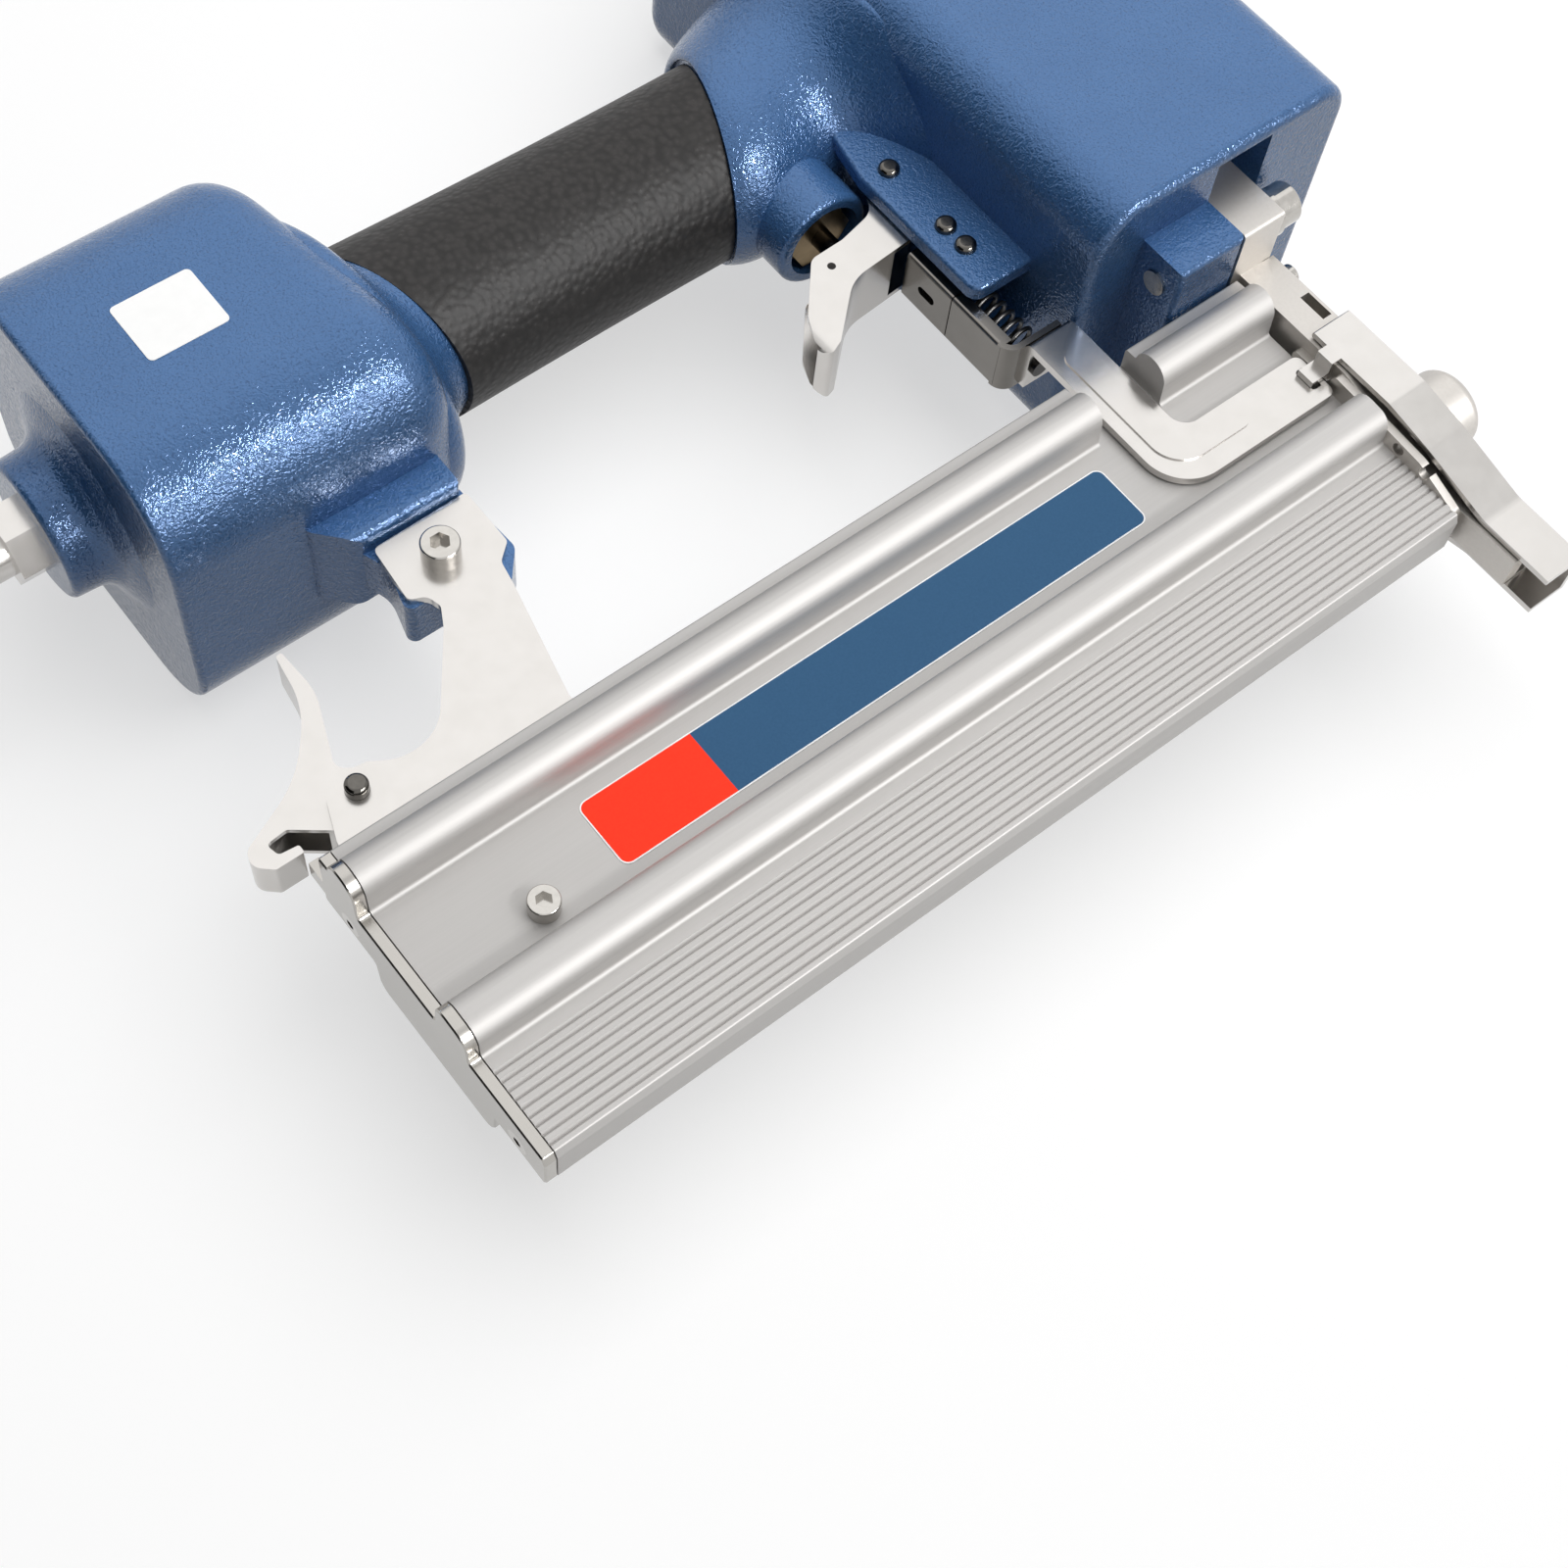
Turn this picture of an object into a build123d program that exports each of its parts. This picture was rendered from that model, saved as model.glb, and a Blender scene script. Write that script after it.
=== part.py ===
from build123d import *
from math import cos, radians, tan
import os

# Pneumatic straight-nail driver lying on its left side, in millimetres.
# While modelling, x runs from the magazine's rear end to the nose, y from the lower edge of the
# magazine's label field to the cylinder cap, and z from the tool's middle plane to its right side.

# Clearances
slide_clear = 0.3
pin_clear = 0.05
seat_clear = 0.1
show_gap = 0.6

# Sheet, plate and fastener sizes
yoke_sheet = 1.5
trigger_sheet = 1.3
latch_sheet = 1.2
shoe_sheet = 1.5
bracket_plate = 2.0
bar_plate = 2.0
end_plate_thickness = 2.6
end_plate_edge = 0.35
pin_radius = 2.5
trip_pin_radius = 1.0
rivet_radius = 2.0
stop_screw_radius = 2.0
bracket_screw_radius = 2.5
nose_screw_radius = 3.0
cap_screw_radius = 3.0
small_screw_radius = 1.5
end_screw_bite = 7.0

# Magazine
magazine_length = 240.0
magazine_top = 36.2
magazine_height = 73.3
field_face = 5.5
field_top = 23.5
field_bottom = -2.0
upper_ridge_top = 16.2
lower_ridge_top = 14.0
lower_ridge_width = 11.0
top_lip_width = 3.2
top_lip_face = 11.5
magazine_wall = 3.0
nail_gap = 2.8
rail_depth = 1.4
slide_thickness = 3.2
groove_count = 9
groove_pitch = 2.15
groove_width = 1.1
groove_depth = 0.7
bulge_top = 18.0
bulge_bottom = -20.0
bulge_depth = 10.4
bulge_wall = 2.0
pusher_length = 14.0
reel_radius = 5.5

# Nose and drive
rear_plate_thickness = 2.0
rear_plate_half = 10.7
guide_back = 4.0
blade_thickness = 2.4
blade_width = 7.0
front_plate_thickness = 3.4
nose_half_width = 11.2
tip_half_width = 4.4
nose_overhang = 15.0
nose_taper = 40.1
nose_step = 11.0
nose_waist = 30.0
sight_length = 7.4
block_half_width = 26.0
block_length = 12.2
block_setback = 3.0
screw_rise = 6.4
screw_inset = 8.0
washer_thickness = 3.0
safety_travel = 8.0
blade_headroom = 1.4
bumper_height = 12.0
piston_height = 12.0
cylinder_radius = 22.5
sleeve_wall = 2.5
blade_hole_radius = 9.0

# Cast body
body_half_width = 40.0
head_rear_reach = 42.4
head_front_reach = 32.6
head_rear_corner = 12.0
head_front_corner = 10.0
head_wall = 6.0
lug_gap = 0.6
lug_drop = 12.4
lug_length = 19.2
head_edge = 2.5
floor_thickness = 9.0
handle_rise = 89.8
handle_half_height = 18.6
handle_half_width = 18.0
grip_thickness = 3.8
collar_length = 9.3
neck_length = 35.5
grip_slant = 19.5
air_passage_radius = 11.0
chamber_rear = 6.4
chamber_length = 65.1
chamber_slant = 10.0
chamber_shoulder = 11.0
chamber_size = 80.0
chamber_corner = 22.0
chamber_wall = 5.0
chamber_front_wall = 14.0
inlet_radius = 16.0
inlet_reach = 12.4
plug_thread_radius = 6.5
plug_reach = 32.0
plug_hex_radius = 9.2
plug_hex_length = 7.0
plug_bore_radius = 2.6
cap_height = 33.0
cap_wall = 8.0
cup_height = 13.0
cup_wall = 6.0
cup_floor = 4.0
head_spring_wire = 1.8
head_spring_inset = 12.0
gasket_thickness = 1.0
deflector_radius = 24.0
deflector_height = 6.0

# Trigger, valve and safety
trigger_pin_reach = 9.8
trigger_pin_rise = 55.5
guide_pin_drops = (20.0, 26.9)
rib_half_gap = 9.3
rib_thickness = 3.7
rib_edge = 1.0
rib_rear_reach = 6.7
rib_foot_drop = 38.3
valve_reach = 17.2
valve_boss_radius = 12.5
valve_boss_drop = 34.0
valve_bore_radius = 9.5
valve_hex_radius = 8.6
valve_body_radius = 8.0
valve_recess = 1.5
stem_radius = 2.5
stem_chamber_radius = 5.0
trigger_half_width = 8.6
trigger_reach = 42.0
tip_corner = 7.0
trip_reach = 25.5
trip_drop = 11.5
yoke_drop = 17.7
yoke_half_width = 7.0
yoke_reach = 8.2
bar_leg_width = 12.4
bar_foot = 2.0
bar_foot_height = 12.5
bead_margin = 3.4
bead_width = 7.0
bead_height = 0.4
ear_width = 4.5
bar_drop = 54.7
bar_gate_gap = 3.7
boss_radius = 9.5
boss_length = 10.5
safety_spring_radius = 4.2
safety_spring_wire = 1.1

# Rear bracket and latch
bracket_lug_half = 6.4
lug_screw_inset = 15.2
lug_screw_drop = 18.4
latch_pin_x = 12.4
latch_reach = 36.0
latch_width = 10.2
latch_pin_rise = 9.3
bracket_sink = 8.7
catch_rise = 4.7

# Places that follow from the sizes above
magazine_bottom = magazine_top - magazine_height
gap_half = nail_gap / 2
slide_face = -gap_half - slide_thickness
lip_inner = slide_face - slide_clear
lip_outer = lip_inner - rail_depth
channel_top = magazine_top - magazine_wall
channel_bottom = magazine_bottom + magazine_wall - 0.5
guide_rear = magazine_length + rear_plate_thickness
channel_rear = guide_rear + guide_back
blade_clear = slide_clear / 1.5
drive_x = channel_rear + blade_clear + blade_thickness / 2
guide_front = channel_rear + blade_thickness + 2 * blade_clear
front_face = guide_front + front_plate_thickness
shoe_front = front_face + slide_clear + shoe_sheet
nose_tip = magazine_bottom - nose_overhang
nose_shoulder = magazine_bottom + nose_taper
shoe_tip = nose_tip - safety_travel
shoe_top = field_top - safety_travel - show_gap
lug_bottom = magazine_top + lug_gap
head_bottom = lug_bottom + lug_drop
head_floor = head_bottom + floor_thickness
bumper_top = head_floor + bumper_height
blade_tip = channel_top - slide_clear
stroke = blade_tip - nose_tip - blade_headroom
piston_bottom = bumper_top + stroke + slide_clear
piston_top = piston_bottom + piston_height
sleeve_top = piston_top + 2.5
sleeve_radius = cylinder_radius + sleeve_wall
valve_seat_radius = sleeve_radius + 1.0
head_top = sleeve_top + 7.0
cap_bottom = head_top + gasket_thickness
cap_top = cap_bottom + cap_height
head_rear = drive_x - head_rear_reach
head_front = drive_x + head_front_reach
handle_y = head_bottom + handle_rise
chamber_front = chamber_rear + chamber_length
chamber_low = handle_y - chamber_size / 2
grip_rear = chamber_front + collar_length
grip_front = head_rear - neck_length
block_rear = guide_rear - block_setback
block_front = block_rear + block_length
block_top = head_floor - gap_half
screw_y = lug_bottom + screw_rise
screw_z = block_half_width - screw_inset
trigger_pin_x = head_rear - trigger_pin_reach
trigger_pin_y = head_bottom + trigger_pin_rise
valve_x = trigger_pin_x - valve_reach
valve_boss_end = handle_y - valve_boss_drop
rib_rear = trigger_pin_x - rib_rear_reach
rib_foot = trigger_pin_y - rib_foot_drop
yoke_rear = trigger_pin_x - yoke_reach
bar_top = trigger_pin_y - bar_drop
bar_rear = trigger_pin_x - 3.2
bar_front = magazine_length - show_gap
bar_low = field_face + 0.5
bar_gate_rear = bar_rear - bar_gate_gap
bar_gate_front = bar_rear + bar_leg_width + bar_gate_gap - 1.7
lug_screw_x = chamber_front - lug_screw_inset
lug_screw_y = chamber_low - lug_screw_drop
latch_pin_y = magazine_top + latch_pin_rise
slot_floor = magazine_top - bracket_sink
catch_top = magazine_top + catch_rise
bracket_low = bracket_lug_half
bracket_high = bracket_low + bracket_plate


# Outlines with rounded corners, and solids made from them
def outline(*corners):
    """Flat face from (u, v, radius) corners; radii too large for their sides shrink to fit."""
    count = len(corners)
    points = [Vector(u, v) for u, v, radius in corners]
    sides = [points[(i + 1) % count] - points[i] for i in range(count)]
    turns = [radians(sides[i - 1].get_angle(sides[i])) for i in range(count)]
    setbacks = [corner[2] * tan(turn / 2) for corner, turn in zip(corners, turns)]
    pairs = [setbacks[i] + setbacks[(i + 1) % count] for i in range(count)]
    shares = [0.98 * side.length / max(pair, 1e-9) for side, pair in zip(sides, pairs)]
    setbacks = [setback * min(1, shares[i - 1], shares[i]) for i, setback in enumerate(setbacks)]
    edges = []
    for i, point in enumerate(points):
        before = sides[i - 1].normalized()
        after = sides[i].normalized()
        arc_end = point + after * setbacks[i]
        if setbacks[i] > 1e-6:
            radius = setbacks[i] / tan(turns[i] / 2)
            middle = point + (after - before).normalized() * (radius / cos(turns[i] / 2) - radius)
            edges.append(ThreePointArc(point - before * setbacks[i], middle, arc_end))
        following = (i + 1) % count
        edges.append(Line(arc_end, points[following] - after * setbacks[following]))
    return make_face(edges)


def lever_outline(x, y, reach, *corners):
    """Outline around a pin, with corners and radii in hundredths of the lever's reach."""
    share = reach / 100
    return outline(*[(x + u * share, y + v * share, radius * share) for u, v, radius in corners])


def along_x(face, start, end):
    """Solid of a (y, z) outline between two x places."""
    plane = Plane(origin=(start, 0, 0), x_dir=(0, 1, 0), z_dir=(1, 0, 0))
    return extrude(plane * face, amount=end - start, dir=(1, 0, 0))


def along_y(face, start, end):
    """Solid of an (x, z) outline between two y places."""
    plane = Plane(origin=(0, start, 0), x_dir=(1, 0, 0), z_dir=(0, -1, 0))
    return extrude(plane * face, amount=end - start, dir=(0, 1, 0))


def along_z(face, start, end):
    """Solid of an (x, y) outline between two z places."""
    return extrude(Pos(0, 0, start) * face, amount=end - start, dir=(0, 0, 1))


def block(x0, x1, y0, y1, z0, z1):
    corner = (Align.MIN, Align.MIN, Align.MIN)
    return Pos(x0, y0, z0) * Box(x1 - x0, y1 - y0, z1 - z0, align=corner)


def rod(start, direction, radius, length):
    base = (Align.CENTER, Align.CENTER, Align.MIN)
    return Plane(origin=start, z_dir=direction) * Cylinder(radius, length, align=base)


def rod_x(radius, x0, x1, y, z=0.0):
    return rod((x0, y, z), (1, 0, 0), radius, x1 - x0)


def rod_y(radius, y0, y1, x, z=0.0):
    return rod((x, y0, z), (0, 1, 0), radius, y1 - y0)


def rod_z(radius, z0, z1, x, y):
    return rod((x, y, z0), (0, 0, 1), radius, z1 - z0)


def domed_pin(radius, z0, z1, x, y):
    """Pin along z with both ends rounded."""
    pin = rod_z(radius, z0, z1, x, y)
    return fillet(pin.edges().filter_by(GeomType.CIRCLE), radius * 0.45)


def socket_screw(head_centre, outward, radius, length):
    """Cap screw seated at head_centre, its head standing along outward and its shank the other way."""
    head = Cylinder(radius * 1.7, radius * 2, align=(Align.CENTER, Align.CENTER, Align.MIN))
    head = fillet(head.edges().group_by(Axis.Z)[-1], radius * 0.2)
    socket = extrude(Pos(0, 0, radius) * RegularPolygon(radius * 0.92, 6), amount=radius)
    shank = Cylinder(radius, length, align=(Align.CENTER, Align.CENTER, Align.MAX))
    return Plane(origin=head_centre, z_dir=outward) * (head - socket + shank)


def flush_screw(head_centre, outward, radius, length, extra=0.0):
    """Countersunk screw whose flat head ends at head_centre; extra widens it into its own seat."""
    head = Cone(radius, radius * 1.9, radius, align=(Align.CENTER, Align.CENTER, Align.MAX))
    shank = Cylinder(radius + extra, length, align=(Align.CENTER, Align.CENTER, Align.MAX))
    screw = head + shank
    if not extra:
        screw -= extrude(RegularPolygon(radius * 0.8, 6), amount=-radius * 0.7)
    return Plane(origin=head_centre, z_dir=outward) * screw


def ring_y(outer, inner, y0, y1, x, z=0.0):
    return rod_y(outer, y0, y1, x, z) - rod_y(inner, y0, y1, x, z)


def coil(start, direction, radius, wire, length, turns):
    """Helical spring whose ends lie within the given length."""
    inside = length - wire
    first = Vector(start) + Vector(direction) * (wire / 2)
    path = Helix(pitch=inside / turns, height=inside, radius=radius, center=first, direction=direction)
    return sweep(Plane(path @ 0, z_dir=path % 0) * Circle(wire / 2), path=path, is_frenet=True)


def ellipse_x(x, y, half_height, half_width):
    plane = Plane(origin=(x, y, 0), x_dir=(0, 1, 0), z_dir=(1, 0, 0))
    return plane * Ellipse(half_height, half_width)


def ellipse_y_span(x, y0, y1, half_width):
    return ellipse_x(x, (y0 + y1) / 2, (y1 - y0) / 2, half_width)


# Cast body
def rounded_section(rear, front, half_width, rear_corner, front_corner):
    """Head and cap section in (x, z)."""
    return outline(
        (rear, -half_width, rear_corner),
        (front, -half_width, front_corner),
        (front, half_width, front_corner),
        (rear, half_width, rear_corner),
    )


def head_section():
    return rounded_section(head_rear, head_front, body_half_width, head_rear_corner, head_front_corner)


def chamber_section(inset):
    half = chamber_size / 2 - inset
    corner = chamber_corner - inset
    width = body_half_width - inset
    return outline(
        (handle_y - half, -width, corner),
        (handle_y + half, -width, corner),
        (handle_y + half, width, corner),
        (handle_y - half, width, corner),
    )


def make_head():
    head = along_y(head_section(), head_bottom, head_top)
    return fillet(head.edges().group_by(Axis.Y)[0], head_edge)


def slanted_plane(x, slant):
    """Plane across the handle, turned so that its lower side is further forward."""
    upright = Plane(origin=(x, handle_y, 0), x_dir=(0, 1, 0), z_dir=(1, 0, 0))
    return upright.rotated((0, 0, slant))


def make_neck():
    """Handle root: starts on the grip's slanted front end and swells into the head."""
    rim_height = handle_half_height + grip_thickness + 2.0
    rim_width = handle_half_width + grip_thickness + 0.5
    top = head_top - 1.5
    low = handle_y - rim_height
    sections = [
        slanted_plane(grip_front, -grip_slant) * Ellipse(rim_height, rim_width),
        ellipse_y_span(head_rear - 22.0, low + 1.0, top - 6.0, rim_width + 1.5),
        ellipse_y_span(head_rear - 10.0, low + 0.5, top - 2.0, rim_width + 4.0),
        ellipse_y_span(head_rear - 3.5, low - 7.5, top - 1.0, rim_width + 8.0),
        ellipse_y_span(head_rear + 3.0, low - 28.0, top, rim_width + 13.0),
    ]
    return loft(sections)


def make_chamber():
    """Air chamber: rounded square in section, with a slanted and well rounded front."""
    chamber = along_x(chamber_section(0.0), chamber_rear, chamber_front + chamber_size / 2)
    chamber = split(chamber, bisect_by=slanted_plane(chamber_front, chamber_slant), keep=Keep.BOTTOM)
    chamber = fillet(chamber.faces().sort_by(Axis.X)[-1].edges(), chamber_shoulder)
    return fillet(chamber.edges().group_by(Axis.X)[0], 1.5)


def make_collar():
    """Concave shoulder from the air chamber down to the grip's slanted rear end."""
    rim_height = handle_half_height + grip_thickness + 0.5
    rim_width = handle_half_width + grip_thickness + 0.5
    flare = [(-0.85, 14.0, 0.0), (0.0, 13.1, 0.0), (0.35, 5.6, 0.42), (0.66, 1.7, 0.74), (1.0, 0.0, 1.0)]
    sections = []
    for share, swell, turn in flare:
        plane = slanted_plane(
            chamber_front + share * (collar_length - seat_clear),
            chamber_slant + turn * (grip_slant - chamber_slant),
        )
        sections.append(plane * Ellipse(rim_height + swell, rim_width + swell))
    return loft(sections)


def make_inlet():
    """Tapered boss of the air inlet on the chamber's rear face."""
    end = chamber_rear - inlet_reach
    profile = outline(
        (chamber_rear + 3, 0, 0),
        (chamber_rear + 3, inlet_radius + 10, 0),
        (chamber_rear, inlet_radius + 10, 0),
        (chamber_rear - 3.0, inlet_radius + 0.5, 5.0),
        (end, inlet_radius, 1.5),
        (end, 0, 0),
    )
    return Pos(0, handle_y, 0) * revolve(profile, Axis.X)


def make_rib(rear):
    """Plate behind the head that carries the trigger and guide pins, from its rear edge forward."""
    face = outline(
        (rear, rib_foot, 3.0),
        (head_rear + 4, rib_foot, 0),
        (head_rear + 4, handle_y - 10, 0),
        (rib_rear + 4, handle_y - 12, 0),
        (rear, trigger_pin_y + 2, 6.0),
    )
    rib = along_z(face, rib_half_gap, rib_half_gap + rib_thickness)
    return fillet(rib.faces().sort_by(Axis.Z)[-1].edges(), rib_edge)


def make_ribs():
    """The right rib, and the left one with just enough metal behind its pins."""
    slim = pin_radius + pin_clear + rib_edge + 0.6
    return make_rib(rib_rear) + mirror(make_rib(trigger_pin_x - slim), Plane.XY)


def make_bracket_lug():
    """Lug under the air chamber, with a thicker ledge above the bracket's seat."""
    x = lug_screw_x
    y = lug_screw_y
    seat = outline(
        (x - 18.5, chamber_low + 8, 0),
        (x - 10.0, y + 5, 9.0),
        (x - 13.0, y - 6.4, 2.0),
        (x - 4.0, y - 6.4, 2.0),
        (x - 1.0, y - 12.6, 2.0),
        (x + 8.6, y - 12.6, 2.0),
        (x + 14.2, y - 6.0, 3.0),
        (x + 12.0, chamber_low + 8, 0),
    )
    ledge_half = bracket_high + 4.0
    ledge_low = y + 10.3
    side = outline(
        (x - 21.5, chamber_low + 12, 0),
        (x - 20.5, chamber_low, 6.0),
        (x - 13.0, ledge_low, 6.0),
        (x + 12.0, ledge_low, 1.0),
        (x + 12.0, chamber_low + 12, 0),
    )
    ledge = outline(
        (ledge_low, -ledge_half, 2.5),
        (ledge_low, ledge_half, 2.5),
        (chamber_low + 12, ledge_half, 0),
        (chamber_low + 12, -ledge_half, 0),
    )
    ledge_solid = along_x(ledge, x - 22, x + 13) & along_z(side, -ledge_half, ledge_half)
    return along_z(seat, -bracket_lug_half, bracket_lug_half) + ledge_solid


def make_nose_lug():
    rear = block_rear - lug_length
    lug = block(rear, block_rear, lug_bottom, head_bottom + 6, -block_half_width, block_half_width)
    return fillet(lug.edges().group_by(Axis.Y)[0], 1.5)


def make_gun_body():
    body = make_head() + make_neck() + make_chamber() + make_collar() + make_inlet()
    core = Pos(handle_y, 0) * Ellipse(handle_half_height, handle_half_width)
    core = along_x(core, chamber_front - 6, head_rear - 18)
    valve_boss = rod_y(valve_boss_radius, valve_boss_end, handle_y, valve_x)
    valve_boss = fillet(valve_boss.edges().group_by(Axis.Y)[0], 1.5)
    body += [core, valve_boss, make_ribs(), make_bracket_lug(), make_nose_lug()]

    room_rear = head_rear + head_wall
    room_front = head_front - head_wall
    head_room = rounded_section(room_rear, room_front, body_half_width - head_wall, head_rear_corner, 5.0)
    body -= along_y(head_room, bumper_top + 9, sleeve_top - 5)
    body -= rod_y(sleeve_radius + seat_clear, head_floor, sleeve_top + seat_clear, drive_x)
    body -= rod_y(valve_seat_radius, sleeve_top, head_top, drive_x)
    body -= rod_y(blade_hole_radius, head_bottom - 1, head_floor, drive_x)
    pocket_half = body_half_width - head_edge - 0.5
    pocket_front = block_front + 4
    pocket_top = block_top + seat_clear
    body -= block(block_rear, pocket_front, head_bottom - 5, pocket_top, -pocket_half, pocket_half)
    air_room = chamber_section(chamber_wall)
    room_end = chamber_front - chamber_front_wall
    body -= along_x(air_room, chamber_rear + chamber_wall, room_end)
    body -= rod_x(air_passage_radius, room_end - 1, head_rear + head_wall + 1, handle_y)
    body -= rod_x(plug_thread_radius, chamber_rear - inlet_reach, chamber_rear + chamber_wall, handle_y)
    body -= rod_y(valve_bore_radius, valve_boss_end, valve_boss_end + 8, valve_x)
    body -= rod_y(valve_body_radius + seat_clear, valve_boss_end, handle_y - 8, valve_x)
    rib_out = rib_half_gap + rib_thickness + 1
    for drop in (0.0, *guide_pin_drops):
        body -= rod_z(pin_radius + pin_clear, -rib_out, rib_out, trigger_pin_x, trigger_pin_y - drop)
    screw_end = bracket_low + 1
    body -= rod_z(bracket_screw_radius + pin_clear, -screw_end, screw_end, lug_screw_x, lug_screw_y)
    hole_end = block_rear - lug_length - 1
    for side in (-1, 1):
        body -= rod_x(nose_screw_radius + pin_clear, hole_end, block_rear, screw_y, side * screw_z)
    for x, z in cap_screw_places():
        body -= rod_y(cap_screw_radius + pin_clear, head_top - 20, head_top, x, z)
    return body


def cap_screw_places():
    inset = 8.5
    rear = head_rear + inset
    front = head_front - inset + 1.5
    side = body_half_width - inset
    return [(rear, -side), (rear, side), (front, -side), (front, side)]


def make_grip():
    """Rubber sleeve with both ends cut slanted, and a little thicker at its rear."""
    outer_height = handle_half_height + grip_thickness
    outer_width = handle_half_width + grip_thickness
    spare = handle_half_height
    length = grip_front - grip_rear
    profile = [(-spare, 1.0), (length * 0.15, 0.2), (length * 0.66, -0.4), (length + spare, 0.0)]
    sections = [ellipse_x(grip_rear + x, handle_y, outer_height + d, outer_width + d) for x, d in profile]
    inner = Pos(handle_y, 0) * Ellipse(handle_half_height + seat_clear, handle_half_width + seat_clear)
    sleeve = loft(sections) - along_x(inner, grip_rear - spare, grip_front + spare)
    sleeve = split(sleeve, bisect_by=slanted_plane(grip_rear, grip_slant), keep=Keep.TOP)
    return split(sleeve, bisect_by=slanted_plane(grip_front - 0.2, -grip_slant), keep=Keep.BOTTOM)


def make_air_plug():
    """Male coupling plug: thread, hexagon and stepped nipple."""
    face = chamber_rear - inlet_reach
    hexagon = along_x(Pos(handle_y, 0) * RegularPolygon(plug_hex_radius, 6), face - plug_hex_length, face)
    end = face - plug_reach
    profile = outline(
        (face - 6, 0, 0),
        (face - 6, 6.0, 0),
        (face - 13, 6.0, 0),
        (face - 15, 4.3, 0),
        (face - 20, 4.3, 0),
        (face - 21, 5.8, 0.6),
        (face - 25, 5.8, 0.8),
        (end, 4.6, 0.8),
        (end, 0, 0),
    )
    nipple = Pos(0, handle_y, 0) * revolve(profile, Axis.X)
    thread = rod_x(plug_thread_radius - seat_clear, face, chamber_rear + 3, handle_y)
    bore = rod_x(plug_bore_radius, end, chamber_rear + 3, handle_y)
    return hexagon + nipple + thread - bore


# Cylinder cap and drive
def make_cap():
    cap = along_y(head_section(), cap_bottom, cap_top)
    cap = fillet(cap.edges().group_by(Axis.Y)[-1], 7.0)
    cap -= rod_y(valve_seat_radius, cap_bottom, cap_top - cap_wall, drive_x)
    cap -= rod_y(small_screw_radius * 1.5 + pin_clear, cap_top - cap_wall, cap_top, drive_x)
    for x, z in cap_screw_places():
        cap -= rod_y(cap_screw_radius + pin_clear, cap_bottom, cap_top, x, z)
        cap -= rod_y(cap_screw_radius * 1.7 + slide_clear, cap_top - 12, cap_top + 1, x, z)
    return cap


def make_cap_gasket():
    gasket = along_y(head_section(), head_top, cap_bottom)
    gasket -= rod_y(valve_seat_radius, head_top, cap_bottom, drive_x)
    for x, z in cap_screw_places():
        gasket -= rod_y(cap_screw_radius + pin_clear, head_top, cap_bottom, x, z)
    return gasket


def make_cap_screws():
    length = cap_height - 12 + gasket_thickness + 16
    places = cap_screw_places()
    return [socket_screw((x, cap_top - 12, z), (0, 1, 0), cap_screw_radius, length) for x, z in places]


def make_deflector():
    """Round exhaust cover with outlet slots around its rim."""
    disc = rod_y(deflector_radius, cap_top, cap_top + deflector_height, drive_x)
    disc = fillet(disc.edges().group_by(Axis.Y)[-1], 2.5)
    for turn in range(0, 120, 20):
        slot = block(deflector_radius - 7, deflector_radius + 1, cap_top, cap_top + 3, -2, 2)
        disc -= Pos(drive_x, 0, 0) * Rot(0, turn - 50, 0) * slot
    return disc - rod_y(small_screw_radius * 1.5 + pin_clear, cap_top, cap_top + deflector_height, drive_x)


def make_deflector_screw():
    seat = (drive_x, cap_top + deflector_height, 0)
    return socket_screw(seat, (0, 1, 0), small_screw_radius * 1.5, deflector_height + cap_wall)


def make_sleeve():
    return ring_y(sleeve_radius, cylinder_radius, head_floor, sleeve_top, drive_x)


def make_bumper():
    ring = ring_y(cylinder_radius - seat_clear, blade_hole_radius, head_floor, bumper_top, drive_x)
    return chamfer(ring.edges().group_by(Axis.Y)[-1], 2.0)


def make_piston():
    piston = rod_y(cylinder_radius - slide_clear, piston_bottom, piston_top, drive_x)
    middle = piston_bottom + piston_height / 2
    piston -= ring_y(cylinder_radius, cylinder_radius - 2.5, middle - 1.5, middle + 1.5, drive_x)
    piston -= rod_y(cylinder_radius - 8, piston_top - 4, piston_top, drive_x)
    half = blade_thickness / 2
    side = blade_width / 2
    return piston - block(drive_x - half, drive_x + half, piston_bottom, piston_bottom + 6, -side, side)


def make_piston_ring():
    middle = piston_bottom + piston_height / 2
    return ring_y(cylinder_radius - pin_clear, cylinder_radius - 2.5, middle - 1.5, middle + 1.5, drive_x)


def make_blade():
    half = blade_thickness / 2
    side = blade_width / 2
    return block(drive_x - half, drive_x + half, blade_tip, piston_bottom + 6, -side, side)


def make_head_valve():
    """Cup that opens the cylinder's top when the trigger valve vents the space above it."""
    low = sleeve_top + seat_clear
    cup = rod_y(valve_seat_radius - slide_clear, low, low + cup_height, drive_x)
    cup -= rod_y(valve_seat_radius - cup_wall, low + cup_floor, low + cup_height, drive_x)
    return cup - cup_groove(valve_seat_radius)


def cup_groove(outer):
    """Ring space near the cup's rim, out to the given radius."""
    high = sleeve_top + seat_clear + cup_height - 2.0
    return ring_y(outer, valve_seat_radius - 2.5, high - 3.0, high, drive_x)


def make_head_valve_ring():
    return cup_groove(valve_seat_radius - pin_clear)


def make_head_valve_spring():
    low = sleeve_top + seat_clear + cup_floor
    length = cap_top - cap_wall - low
    radius = valve_seat_radius - head_spring_inset
    return coil((drive_x, low, 0), (0, 1, 0), radius, head_spring_wire, length, 4)


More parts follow.
